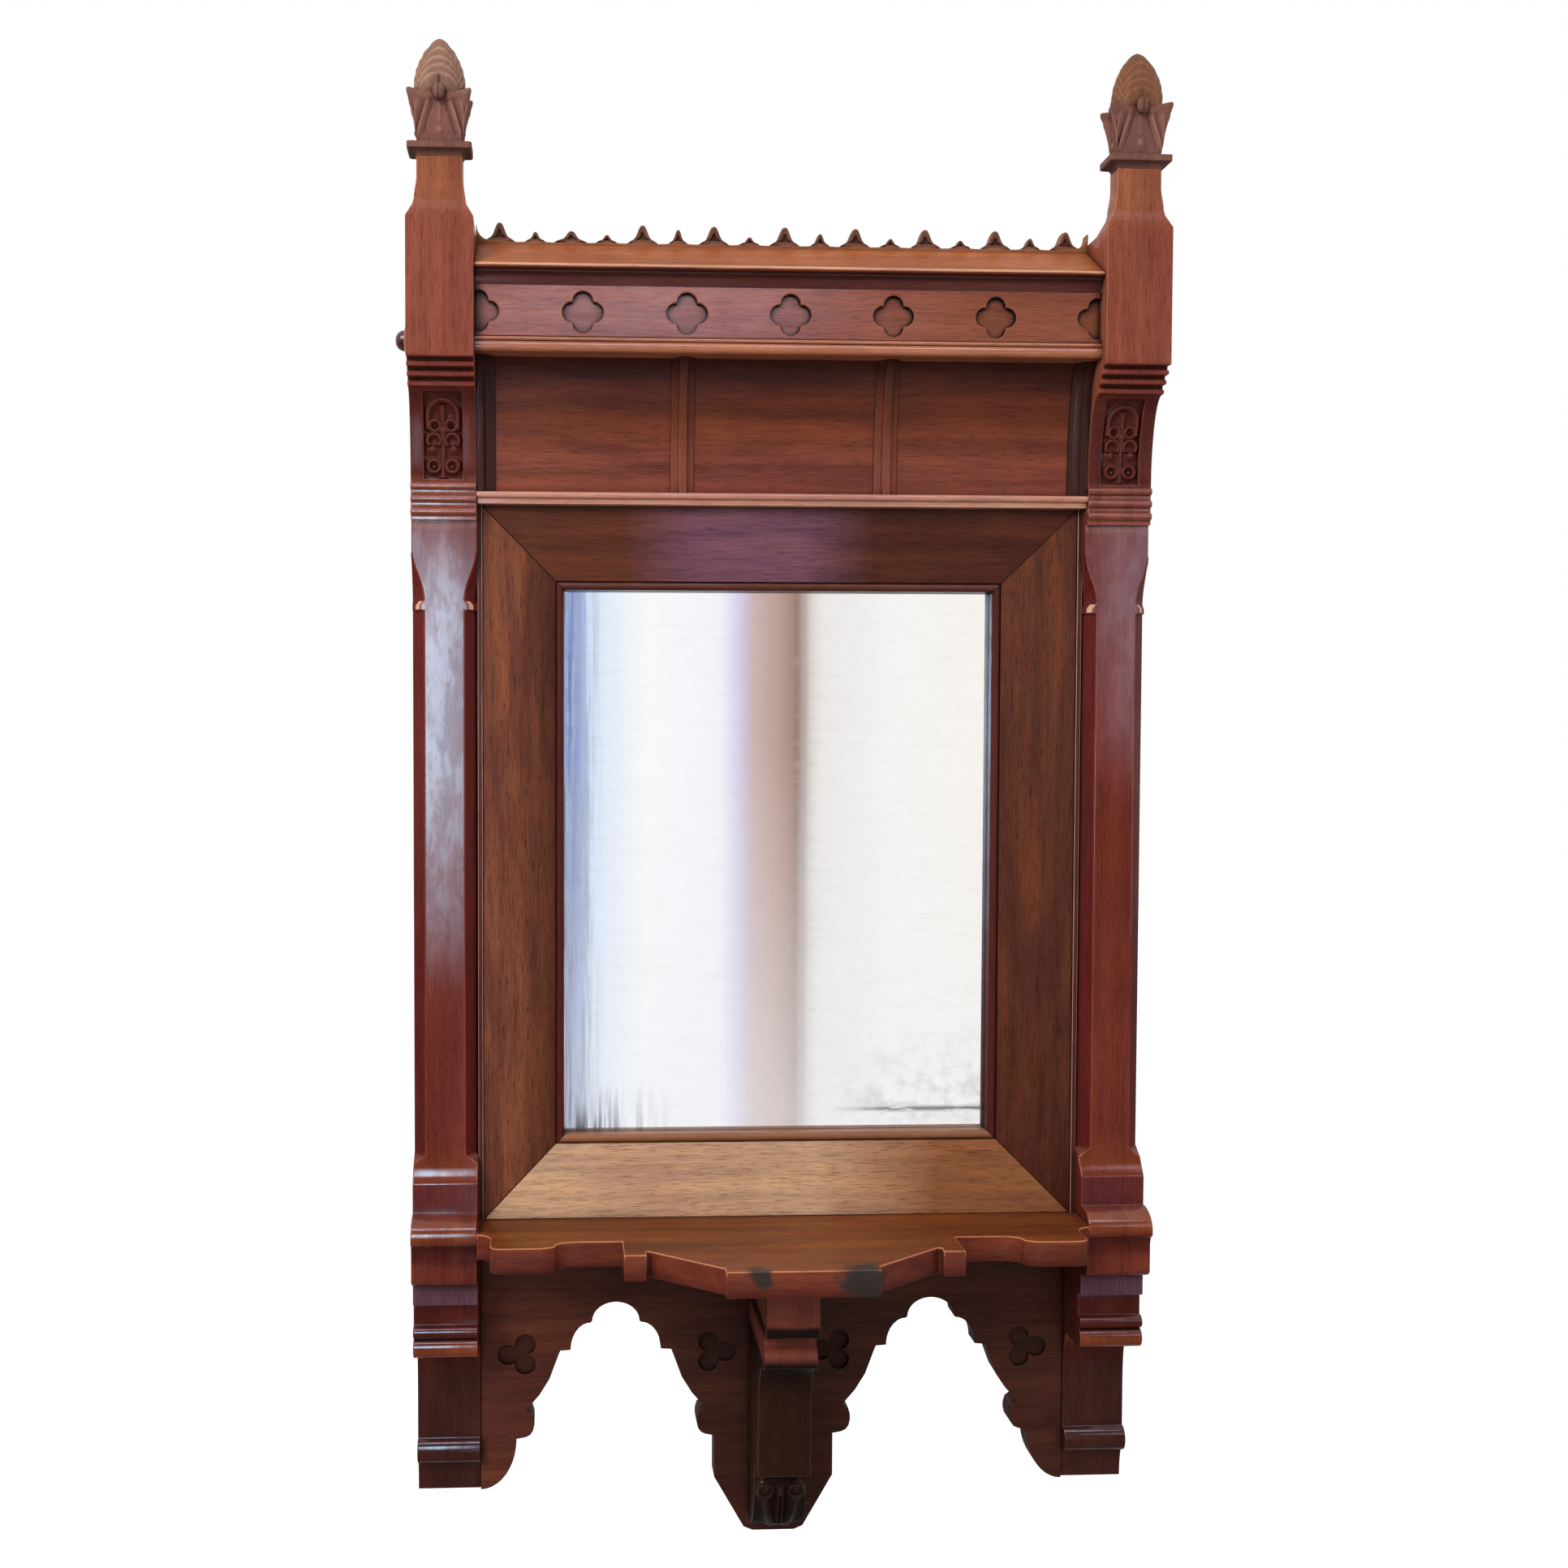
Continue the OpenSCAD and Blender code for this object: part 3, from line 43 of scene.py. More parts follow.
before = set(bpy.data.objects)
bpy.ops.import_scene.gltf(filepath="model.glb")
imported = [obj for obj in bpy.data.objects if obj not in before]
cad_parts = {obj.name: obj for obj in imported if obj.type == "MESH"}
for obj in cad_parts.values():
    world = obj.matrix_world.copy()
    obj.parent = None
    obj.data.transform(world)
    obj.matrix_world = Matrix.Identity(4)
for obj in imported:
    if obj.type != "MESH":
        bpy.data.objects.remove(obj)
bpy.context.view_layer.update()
BODY = "root"
FINIAL_LOW, FINIAL_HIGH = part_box("finial_left")

# How the grain is turned, and how much longer than wide its fibres are
GRAIN_TURN = {"Z": (0, 0, 0), "X": (0, math.pi / 2, 0), "Y": (math.pi / 2, 0, 0)}
ALONG_GRAIN = 0.05
# What the parts of a colour are multiplied by
WARM_BAND = (1.22, 1.08, 0.80)
COOL_BAND = (0.74, 0.60, 0.64)
DARK_STREAK = (0.36, 0.28, 0.28)
PALE_STREAK = (1.40, 1.32, 1.2)
OPEN_PORE = (0.35, 0.3, 0.3)
CHAMFER = (0.68, 0.46, 0.58)
PALE_WEAR_AND_HIGHLIGHT = (1.6, 1.55, 1.5)
RAISED_WEAR_AND_HIGHLIGHT = (1.8, 1.85, 1.85)


def tone(red, green, blue):
    """A colour as a paint chart gives it, 0 to 255, as the 0 to 1 values of a colour property."""
    return (red / 255, green / 255, blue / 255)


def length(name, about, default):
    """A length property in metres."""
    return bpy.props.FloatProperty(name=name, description=about, default=default, unit="LENGTH", precision=4)


def angle(name, about, default):
    """An angle property in radians."""
    return bpy.props.FloatProperty(name=name, description=about, default=default, subtype="ANGLE")


def number(name, about, default):
    """A plain number property."""
    return bpy.props.FloatProperty(name=name, description=about, default=default)


def count(name, about, default):
    """A property that counts something."""
    return bpy.props.IntProperty(name=name, description=about, default=default)


def colour(name, about, red, green, blue):
    """A colour property."""
    return bpy.props.FloatVectorProperty(name=name, description=about, default=tone(red, green, blue),
                                         size=3, min=0, max=1, subtype="COLOR_GAMMA")


class WoodColours(bpy.types.PropertyGroup):
    """Colours of the wood, board by board."""
    # Partly painted shade: at the foot of the pillars, under the cornice nose and on the bed moulding
    foot: colour("Pillar foot", "Dark polish and painted shade at the foot of the pillars", 68, 35, 30)
    base: colour("Pillar base", "Moulded base of the pillars, and plain mouldings", 84, 32, 26)
    swell: colour("Swell", "Rubbed swellings of the pillar base", 132, 66, 38)
    wine: colour("Wine", "Upright band of the pillar base", 102, 46, 46)
    # Painted lilac reflection on the polish of the base hollow
    dust_and_sheen: colour("Lilac sheen", "Dusty hollow of the base", 100, 68, 82)
    shaft: colour("Shaft", "Middle of the shafts", 116, 52, 40)
    hollow: colour("Hollow", "Shaded hollow under the block", 94, 46, 40)
    reeds: colour("Reeds", "Reeds under the top blocks", 124, 62, 52)
    block: colour("Block", "Top blocks of the pillars", 144, 80, 64)
    neck: colour("Neck", "Faded necks under the finials", 158, 96, 69)
    # Wear to the bare wood, with a painted highlight along the corners
    arris: colour("Arris", "Corners rubbed to the bare wood", 214, 166, 134)
    capital: colour("Capital", "Collar and leaf capital of the finials", 127, 86, 76)
    finial: colour("Finial", "Bleached bud of the left finial", 138, 106, 90)
    finial_shade: colour("Shaded finial", "Bud of the right finial", 128, 86, 62)
    crest: colour("Crest", "Board of the crest", 150, 96, 66)
    spikes: colour("Spikes", "Spikes of the crest", 116, 80, 64)
    cornice: colour("Cornice", "Sunlit slope and nosing of the cornice", 170, 98, 53)
    frieze: colour("Frieze", "Frieze board with the quatrefoils", 138, 80, 60)
    frieze_lilac: colour("Lilac frieze", "Left part of the frieze, where the sky shines on it", 152, 98, 92)
    rail: colour("Rail", "Reeded rail, and the rubbed edge of the shelf", 174, 108, 76)
    cove: colour("Cove", "Curved panels under the frieze", 100, 49, 28)
    cove_foot: colour("Cove foot", "Lit foot of the cove", 127, 69, 54)
    cove_end: colour("Cove end", "Ribs in the shade of the pillars", 58, 28, 21)
    cove_head: colour("Cove head", "Cove where the rail shades it", 70, 33, 26)
    # Made paler as a painted highlight on the bead
    bead: colour("Bead", "Bead over the mirror, painted paler as its highlight", 198, 138, 116)
    splay_side: colour("Side splay", "Upright boards round the glass", 102, 56, 36)
    splay_lit: colour("Lit side splay", "Left board beside its outer edge", 127, 77, 58)
    splay_shade: colour("Shaded side splay", "Left board at the glass, foot of the right one", 82, 42, 26)
    # The board over the glass faces down, and this colour is darkened as painted shade
    splay_top: colour("Top splay", "Board over the glass, and the edge strips, darkened as painted shade", 84, 44, 30)
    sheen: colour("Sheen", "Board beside the brightest part of the glass", 122, 84, 104)
    # The board under the glass faces up: faded, and paler still as painted light
    splay_foot: colour("Bottom splay", "Faded board under the glass, with painted light", 202, 164, 132)
    splay_foot_shade: colour("Shaded bottom splay", "Right end of the board under the glass", 150, 98, 62)
    # A painted highlight along the corner of the strips
    strip_highlight: colour("Strip highlight", "Corner of the strips beside the pillars", 186, 140, 138)
    sight: colour("Sight bead", "Level beads round the glass", 92, 46, 33)
    shelf: colour("Shelf", "Top of the shelf", 121, 67, 31)
    shelf_edge: colour("Shelf edge", "Shaped front edge of the shelf", 114, 55, 39)
    apron: colour("Apron", "Pierced board under the shelf", 74, 41, 32)
    apron_lit: colour("Lit apron", "Left end of the pierced board", 104, 56, 43)
    bracket: colour("Bracket", "Centre bracket", 50, 27, 18)
    bracket_head: colour("Bracket head", "Block under the shelf", 124, 64, 50)
    pine: colour("Pine", "Raw boards of the back", 172, 132, 86)
    beech: colour("Beech", "Dowels", 196, 156, 108)
    scorch: colour("Scorch", "Knocked and scorched spots on the shelf", 40, 40, 36)
    # Darkens corners as wax and dust, and as painted shade
    dirt_and_shade: colour("Dirt and shade", "Old wax and dust, and painted shade, in the corners", 26, 15, 12)


class WearSizes(bpy.types.PropertyGroup):
    """Grain and wear of the wood."""
    arris: length("Arris", "Width of a worn arris", 0.0009)
    fine_arris: length("Fine arris", "Width of a worn arris on small mouldings", 0.0005)
    crease: angle("Crease", "Edges sharper than this are worn", math.radians(28))
    streak: length("Streak", "Distance between two dark streaks of the grain", 0.011)
    fibre: length("Fibre", "Distance between two fine fibres", 0.0011)
    recess: length("Recess", "How far dirt spreads from a corner", 0.009)
    merge: length("Merge", "Vertices closer than this become one", 0.00001)


class FinialSizes(bpy.types.PropertyGroup):
    """Sizes of the carved finials. What is not here comes from the frame."""
    neck_width: length("Neck width", "Width of the neck under the finial", 0.0364)
    neck_depth: length("Neck depth", "Depth of the neck under the finial", 0.016)
    collar: length("Collar", "Height of the collar", 0.0105)
    capital: length("Capital", "Height of the leaf capital", 0.0405)
    bud_width: length("Bud width", "Width of the bud", 0.0385)
    bud_depth: length("Bud depth", "Depth of the bud", 0.023)
    knob: length("Knob", "Radius of the curled knob on each face", 0.0052)
    petal: length("Petal", "Step from one petal of the bud to the next", 0.0010)
    around: count("Around", "Points round each finial", 200)
    rows: count("Rows", "Rows between two points of the outline", 7)


class CarvingSizes(bpy.types.PropertyGroup):
    """Sizes of the crest, the scroll panels and the leaf on the bracket."""
    spike_pitch: length("Spike pitch", "Distance between two large spikes", 0.059)
    spike_half: length("Spike half", "Half width of a large spike", 0.0088)
    spike_height: length("Spike height", "Height of a large spike", 0.0150)
    spikelet_half: length("Small spike half", "Half width of a small spike", 0.0055)
    spikelet_height: length("Small spike height", "Height of a small spike", 0.011)
    crest_end: length("Crest end", "Radius of the sweep at each end of the crest", 0.010)
    panel_half: length("Panel half", "Half width of a scroll panel", 0.0157)
    panel_foot: length("Panel foot", "Level of the foot of the scroll panels", 0.3196)
    panel_head: length("Panel head", "Level of the head of the scroll panels", 0.3874)
    panel_sunk: length("Panel sunk", "Depth of the ground of the scroll panels", 0.0034)
    scroll: length("Scroll", "Height of the scrolls over their ground", 0.0040)
    leaf: length("Leaf", "How far the bracket leaf stands out", 0.0060)
    leaf_height: length("Leaf height", "Height of the bracket leaf", 0.0500)


class StudioSizes(bpy.types.PropertyGroup):
    """Camera, lamps and floor."""
    eye: bpy.props.FloatVectorProperty(name="Eye", description="Place of the camera",
                                       default=(-0.1879, -1.2356, 0.1072), subtype="TRANSLATION")
    yaw: angle("Yaw", "Camera turned to the right", 0.04161)
    pitch: angle("Pitch", "Camera tipped up", -0.03255)
    roll: angle("Roll", "Camera rolled", 0.00122)
    lens: number("Lens", "Focal length in millimetres", 32.61)
    shift: number("Shift", "Sideways shift of the lens", 0.1063)
    floor: length("Floor", "Level of the floor", -1.15)
    sky: number("Sky", "Strength of the soft light all round", 0.5)
    key: number("Key", "Power of the soft lamp", 46)
    fill: number("Fill", "Power of the lamp on the other side", 9)


def wear():
    return bpy.context.scene.mirror_wear


def linear(srgb):
    """A colour property as the four linear values that a socket takes."""
    return (*(c / 12.92 if c <= 0.04045 else ((c + 0.055) / 1.055) ** 2.4 for c in srgb), 1.0)


def darker(base, by):
    """A linear colour with its parts multiplied."""
    return (*(part * share for part, share in zip(base, by)), 1)


class Nodes:
    """Short calls that build the nodes of one material or world."""

    def __init__(self, owner):
        owner.use_nodes = True
        self.owner = owner
        self.tree = owner.node_tree
        self.tree.nodes.clear()

    def put(self, socket, value):
        if isinstance(value, bpy.types.NodeSocket):
            self.tree.links.new(value, socket)
        else:
            socket.default_value = value

    def add(self, kind, inputs=None, **settings):
        made = self.tree.nodes.new("ShaderNode" + kind)
        for name, value in settings.items():
            setattr(made, name, value)
        for name, value in (inputs or {}).items():
            self.put(made.inputs[name], value)
        return made

    def mix(self, factor, first, second, blend="MIX"):
        made = self.add("Mix", {"Factor": factor}, data_type="RGBA", blend_type=blend)
        self.put(made.inputs[6], first)
        self.put(made.inputs[7], second)
        return made.outputs[2]

    def shade(self, base, by):
        return self.mix(1.0, base, (*by, 1), "MULTIPLY")

    def math(self, operation, first, second=0.0, clamp=False):
        made = self.add("Math", {0: first, 1: second, 2: 0.0}, operation=operation, use_clamp=clamp)
        return made.outputs[0]

    def plus(self, first, second):
        return self.math("ADD", first, second)

    def minus(self, first, second, clamp=False):
        return self.math("SUBTRACT", first, second, clamp)

    def times(self, first, second, clamp=False):
        return self.math("MULTIPLY", first, second, clamp)

    def larger(self, first, second):
        return self.math("MAXIMUM", first, second)

    def off(self, value, middle):
        """How far a value is from another, either way."""
        return self.math("ABSOLUTE", self.minus(value, middle))

    def ramp(self, value, *stops):
        """A value or a colour along stops, each a (place, level or colour)."""
        made = self.add("ValToRGB", {"Fac": value})
        points = made.color_ramp.elements
        while len(points) < len(stops):
            points.new(0.5)
        for point, (place, level) in zip(points, stops):
            point.position = place
            point.color = level if isinstance(level, tuple) else (level, level, level, 1)
        return made.outputs["Color"]

    def rise(self, value, start, end, most=1.0):
        return self.ramp(value, (start, 0.0), (end, most))

    def fall(self, value, start, end, most=1.0):
        return self.ramp(value, (start, most), (end, 0.0))

    def between(self, value, low, high, first=0.0, last=1.0):
        """A value that goes from first to last while another goes from low to high."""
        made = self.add("MapRange", {"Value": value, "From Min": low, "From Max": high, "To Min": first,
                                     "To Max": last})
        return made.outputs["Result"]

    def colours(self, value, stops):
        """Colours along a value, by (value, colour) pairs."""
        low, high = stops[0][0], stops[-1][0]
        return self.ramp(self.between(value, low, high),
                         *[((at - low) / (high - low), linear(paint)) for at, paint in stops])

    def spot(self):
        return self.add("TexCoord").outputs["Object"]

    def split(self, vector):
        return self.add("SeparateXYZ", {"Vector": vector}).outputs

    def mapped(self, vector, scale=(1, 1, 1), turn=(0, 0, 0), move=(0, 0, 0)):
        made = self.add("Mapping", {"Vector": vector, "Scale": scale, "Rotation": turn, "Location": move})
        return made.outputs["Vector"]

    def noise(self, vector, size, detail=3.0, rough=0.5, twist=0.0):
        """Cloudy noise whose clouds are about size wide."""
        made = self.add("TexNoise", {"Vector": vector, "Scale": 1 / size, "Detail": detail,
                                     "Roughness": rough, "Distortion": twist})
        return made.outputs["Fac"]

    def open(self, reach):
        """How free of corners a spot is, within a reach."""
        return self.add("AmbientOcclusion", {"Distance": reach}, samples=8).outputs["AO"]

    def bump(self, height, depth, under=None):
        made = self.add("Bump", {"Height": height, "Distance": depth, "Strength": 1.0})
        if under:
            self.put(made.inputs["Normal"], under)
        return made.outputs["Normal"]

    def blend(self, factor, first, second):
        return self.add("MixShader", {0: factor, 1: first.outputs[0], 2: second.outputs[0]})

    def finish(self, shader, kind="Material"):
        """Joins a shader to the output, and gives back the material or world."""
        self.add("Output" + kind, {"Surface": shader.outputs[0]})
        return self.owner

    def paint(self, inputs):
        return self.finish(self.add("BsdfPrincipled", inputs))


def wood(name, stops, grain="Z", place=0.0, figure=0.5, rings=0.0, ribbon=0.35, worn=0.0, rough=0.4,
         coat=0.05, dirt_and_shade=0.85, pores=0.5, relief=0.0, sunk=None, knocks=(), level="Z", sides=None,
         dull_at=None, notch=None, sheen=0.12):
    """Old polished wood. stops are (place, colour) pairs along level, grain is the way the fibres run,
    worn bleaches it, as wear and, on the worn edges, as a painted highlight, relief is how much a carved
    surface takes a painted highlight where it stands high and painted shade where it is cut in, sunk is
    two depths and how much painted shade darkens a recess between them, and knocks are (place, radius)
    pairs of scorched spots.
    sides are the stops of what faces sideways or back, and darken the chamfers between them and the
    front. dull_at are two levels with little polish between them, and notch are two levels between
    which a chamfer is rubbed pale, and how far back."""
    n = Nodes(bpy.data.materials.new(name))
    sizes = wear()
    paints = bpy.context.scene.mirror_wood
    spot = n.spot()
    parts = n.split(spot)
    grained = n.mapped(spot, turn=GRAIN_TURN[grain], move=(place, place * 0.7, place * 1.3))
    long_way = n.mapped(grained, (1, 1, ALONG_GRAIN))
    streaks = n.noise(long_way, sizes.streak, 5, 0.65, 0.6)
    fibres = n.noise(long_way, sizes.fibre, 2, 0.6)
    bands = n.noise(n.mapped(grained, (1, 1, 0.16)), 0.034, 3, 0.55, 0.9)
    clouds = n.noise(spot, 0.09, 4, 0.6)
    pore = n.rise(n.noise(long_way, sizes.fibre * 0.55, 1, 0.4), 0.60, 0.70)

    base = linear(stops[0][1])
    if len(stops) > 1:
        shift = n.times(n.minus(clouds, 0.5), min(0.012, (stops[-1][0] - stops[0][0]) * 0.08))
        ragged = n.plus(parts[level], shift)
        base = n.colours(ragged, stops)
    if sides:
        normal = n.split(n.add("NewGeometry").outputs["True Normal"])
        across = n.math("ABSOLUTE", normal["X"])
        chamfer = n.ramp(across, (0.45, 0.0), (0.6, 1.0), (0.82, 1.0), (0.9, 0.0))
        away = n.larger(n.rise(across, 0.84, 0.94), n.rise(normal["Y"], 0.5, 0.7))
        base = n.mix(away, base, n.colours(ragged, sides))

    # Bands, streaks, growth rings and pores
    warm, cool = n.shade(base, WARM_BAND), n.shade(base, COOL_BAND)
    tint = n.mix(n.rise(bands, 0.40, 0.60), n.mix(ribbon, base, cool), n.mix(ribbon, base, warm))
    tint = n.mix(n.times(n.rise(clouds, 0.42, 0.62), 0.35), tint, cool)
    deep, pale = n.shade(tint, DARK_STREAK), n.shade(tint, PALE_STREAK)
    mark = n.plus(n.times(streaks, 0.62), n.times(fibres, 0.38))
    if rings:
        hoops = n.add("TexWave", {"Vector": n.mapped(grained, (1, 1, 0.10), move=(0.11, 0.05, 0)),
                                  "Scale": 16.0, "Distortion": 9.0, "Detail": 4.0, "Detail Scale": 0.9,
                                  "Detail Roughness": 0.6}, wave_type="RINGS", rings_direction="Z")
        mark = n.plus(mark, n.times(n.minus(hoops.outputs["Fac"], 0.5), rings))
    board = n.mix(n.rise(mark, 0.36, 0.52), n.mix(figure * 0.8, tint, deep), tint)
    board = n.mix(n.times(n.rise(mark, 0.5, 0.66), figure), board, pale)
    board = n.mix(n.times(pore, pores), board, n.shade(board, OPEN_PORE))

    # Rubbing with its painted highlight, and wax, dust and painted shade in the corners
    if sides:
        board = n.mix(chamfer, board, n.shade(board, CHAMFER))
        if notch:
            low, high, behind = notch
            inside = n.math("LESS_THAN", n.off(parts["Z"], (low + high) / 2), (high - low) / 2)
            inside = n.times(inside, n.math("LESS_THAN", parts["Y"], behind))
            board = n.mix(n.times(inside, chamfer), board, linear(paints.arris))
    # Worn patches: wear, and on the worn edges also a painted highlight
    if worn:
        patches = n.ramp(clouds, (0.3, 0.45), (0.6, 1.0))
        board = n.mix(n.times(patches, worn), board, n.shade(board, PALE_WEAR_AND_HIGHLIGHT))
    # Wax, dust and painted shade where corners close in
    grime_and_shade = n.times(n.fall(n.open(sizes.recess), 0.35, 0.9), dirt_and_shade * 0.75)
    grime_and_shade = n.larger(grime_and_shade, n.times(n.fall(n.open(sizes.recess * 0.35), 0.45, 0.85), dirt_and_shade))
    # Painted shade down the walls of a recess, and less on its floor
    if sunk:
        depth = n.between(parts["Y"], sunk[0], sunk[1])
        grime_and_shade = n.larger(grime_and_shade, n.ramp(depth, (0.0, 0.0), (0.3, 0.95), (0.8, 0.95), (0.97, sunk[2])))
    # Carving: a painted highlight where it stands high, painted shade where it is cut in
    if relief:
        stands = n.add("Attribute", attribute_name="relief").outputs["Fac"]
        board = n.mix(n.rise(stands, 0.5, 1.0, relief), board, n.shade(board, RAISED_WEAR_AND_HIGHLIGHT))
        grime_and_shade = n.larger(grime_and_shade, n.fall(stands, 0.0, 0.42, relief * 0.95))
    board = n.mix(grime_and_shade, board, linear(paints.dirt_and_shade))
    for where, radius in knocks:
        frayed = n.add("TexNoise", {"Vector": spot, "Scale": 70.0, "Detail": 4.0}).outputs["Color"]
        wander = n.add("VectorMath", {0: frayed, 1: (radius * 1.4,) * 3, 2: spot}, operation="MULTIPLY_ADD")
        gap = n.add("VectorMath", {0: wander.outputs[0], 1: [c + radius * 0.7 for c in where]},
                    operation="DISTANCE").outputs["Value"]
        burnt = n.fall(n.math("DIVIDE", gap, radius), 0.55, 1.0, 0.92)
        board = n.mix(burnt, board, linear(paints.scorch))

    # Polish
    dull = n.ramp(clouds, (0.3, rough - 0.06), (0.7, rough + 0.12))
    dull = n.mix(grime_and_shade, dull, (0.9, 0.9, 0.9, 1))
    handled = n.noise(n.mapped(grained, (1, 1, 0.35)), 0.015, 5, 0.7)
    polish = n.ramp(handled, (0.42, coat * 0.6), (0.56, coat))
    if dull_at:
        low, high = dull_at
        half, fade = (high - low) / 2, 0.004
        polish = n.times(polish, n.ramp(n.off(parts["Z"], (low + high) / 2),
                                        (half - fade, 0.08), (half + fade, 1.0)))
    if sides:
        polish = n.times(polish, n.minus(1.0, n.times(chamfer, 0.85)))
        polish = n.plus(n.times(polish, n.minus(1.0, away)), n.times(away, 0.25))
    uneven = n.bump(n.noise(spot, 0.022, 2, 0.5), 0.0008)
    fine = n.bump(n.minus(fibres, n.times(pore, 0.6)), 0.00018, uneven)
    return n.paint({"Base Color": board, "Roughness": dull, "Normal": fine, "Specular IOR Level": sheen,
                    "Coat Weight": polish, "Coat Roughness": 0.11})


def raw_wood(name, paint, grain="Z", place=0.0):
    """Unpolished board with dust and saw marks across the fibres."""
    n = Nodes(bpy.data.materials.new(name))
    spot = n.spot()
    grained = n.mapped(spot, turn=GRAIN_TURN[grain], move=(place, place, place))
    long_way = n.mapped(grained, (1, 1, ALONG_GRAIN))
    streaks = n.noise(long_way, 0.014, 4, 0.6, 0.5)
    fibres = n.noise(long_way, 0.0012, 2, 0.5)
    saw = n.add("TexWave", {"Vector": grained, "Scale": 55.0, "Distortion": 1.5, "Detail": 2.0,
                            "Detail Scale": 0.4}, wave_type="BANDS", bands_direction="Z").outputs["Fac"]
    base = linear(paint)
    deep = darker(base, (0.55, 0.48, 0.42))
    board = n.mix(n.rise(streaks, 0.38, 0.62), deep, base)
    board = n.mix(n.fall(n.noise(spot, 0.12, 4, 0.6), 0.4, 0.65, 0.5), board, deep)
    # Darker in the corners: dust, and painted shade
    board = n.mix(n.fall(n.open(0.02), 0.3, 0.9, 0.8), board, (0.02, 0.015, 0.01, 1))
    normal = n.bump(n.plus(fibres, n.times(saw, 0.5)), 0.0005)
    return n.paint({"Base Color": board, "Roughness": 0.78, "Normal": normal, "Specular IOR Level": 0.25})


def metal(name, paint, rough=0.42, rust=0.4):
    """Old metal with dull stained patches."""
    n = Nodes(bpy.data.materials.new(name))
    spot = n.spot()
    stains = n.rise(n.noise(spot, 0.006, 5, 0.65), 0.45, 0.65)
    base = linear(paint)
    skin = n.mix(n.times(stains, rust), base, darker(base, (0.32, 0.25, 0.18)))
    dull = n.ramp(stains, (0.0, rough), (1.0, rough + 0.3))
    normal = n.bump(n.noise(spot, 0.0012, 3, 0.6), 0.0001)
    return n.paint({"Base Color": skin, "Roughness": dull, "Metallic": 1.0, "Normal": normal})


def silvering(name, half_width, half_height):
    """Old silvered glass: clear in the middle, with dark flaking at the left edge, a painted rebate shadow
    along both sides, fox marks and rubbing.
    """
    n = Nodes(bpy.data.materials.new(name))
    spot = n.spot()
    parts = n.split(spot)
    side_gap = n.minus(half_width, n.math("ABSOLUTE", parts["X"]))
    left_gap = n.plus(parts["X"], half_width)
    foot_gap = n.plus(parts["Z"], half_height)
    upright = n.mapped(spot, (1, 1, 0.04))
    level = n.mapped(spot, (0.16, 1, 1))
    # Dark upright flaking along the left edge, fading within a few centimetres
    flakes = n.times(n.fall(left_gap, 0.0, 0.045), n.rise(n.noise(upright, 0.006, 4, 0.7), 0.42, 0.6))
    # Upright runs in the lower left corner
    corner = n.times(n.fall(foot_gap, 0.0, 0.055), n.fall(left_gap, 0.0, 0.11))
    runs = n.times(corner, n.rise(n.noise(upright, 0.0045, 4, 0.7), 0.44, 0.58, 1.6), clamp=True)
    # A line and smudges low on the right
    right = n.rise(left_gap, 0.62 * half_width * 2, 0.75 * half_width * 2)
    line = n.times(n.fall(n.off(foot_gap, half_height * 0.115), 0.0009, 0.0024),
                   n.rise(n.noise(level, 0.004, 4, 0.7), 0.36, 0.5, 0.9))
    smudge = n.times(n.ramp(foot_gap, (0.01, 0.0), (0.03, 0.6), (0.05, 0.4), (0.11, 0.0)),
                     n.rise(n.noise(spot, 0.018, 7, 0.62), 0.46, 0.70, 0.75))
    foxing = n.larger(n.times(right, n.larger(line, smudge)), runs)
    # Silvering gone in flakes and fox marks, and a painted rebate shadow along both sides
    lost_and_shaded = n.larger(n.larger(flakes, foxing), n.fall(side_gap, 0.0, 0.012, 0.75))
    # Rubbing, mottling and clouds all over
    rubbing = n.rise(n.noise(level, 0.006, 6, 0.7), 0.50, 0.75)
    mottle = n.rise(n.noise(spot, 0.008, 6, 0.75), 0.42, 0.66)
    cloud = n.rise(n.noise(spot, 0.06, 5, 0.6), 0.42, 0.68)
    skin = n.mix(n.times(rubbing, 0.10), (0.95, 0.96, 0.97, 1), (0.55, 0.54, 0.46, 1))
    skin = n.mix(n.times(mottle, n.ramp(left_gap, (0.1, 0.02), (0.2, 0.08))), skin, (0.62, 0.60, 0.50, 1))
    skin = n.mix(n.times(cloud, 0.07), skin, (0.80, 0.78, 0.72, 1))
    skin = n.mix(n.times(lost_and_shaded, 0.85), skin, (0.035, 0.032, 0.04, 1))
    dull = n.plus(0.04, n.plus(n.times(rubbing, 0.03), n.times(lost_and_shaded, 0.2)))
    return n.paint({"Base Color": skin, "Metallic": 1.0, "Roughness": dull,
                    "Normal": n.bump(n.noise(spot, 0.12, 1, 0.4), 0.00006)})


def plain(name, paint, rough):
    """Plain paint or glass edge with a slight mottle."""
    n = Nodes(bpy.data.materials.new(name))
    base = linear(paint)
    mottle = n.rise(n.noise(n.spot(), 0.004, 4, 0.6), 0.4, 0.65, 0.6)
    return n.paint({"Base Color": n.mix(mottle, base, darker(base, (0.6, 0.6, 0.6))), "Roughness": rough})


def placed(name, data):
    """A new object in the scene."""
    made = bpy.data.objects.new(name, data)
    bpy.context.scene.collection.objects.link(made)
    return made


def mesh_of(bm, name, sharp=None):
    """The mesh of a bmesh, which ends with it. With an angle, smooth but for edges sharper than that."""
    if sharp:
        bmesh.ops.recalc_face_normals(bm, faces=bm.faces)
    mesh = bpy.data.meshes.new(name)
    bm.to_mesh(mesh)
    bm.free()
    if sharp:
        mesh.shade_smooth()
        mesh.set_sharp_from_angle(angle=math.radians(sharp))
    return mesh


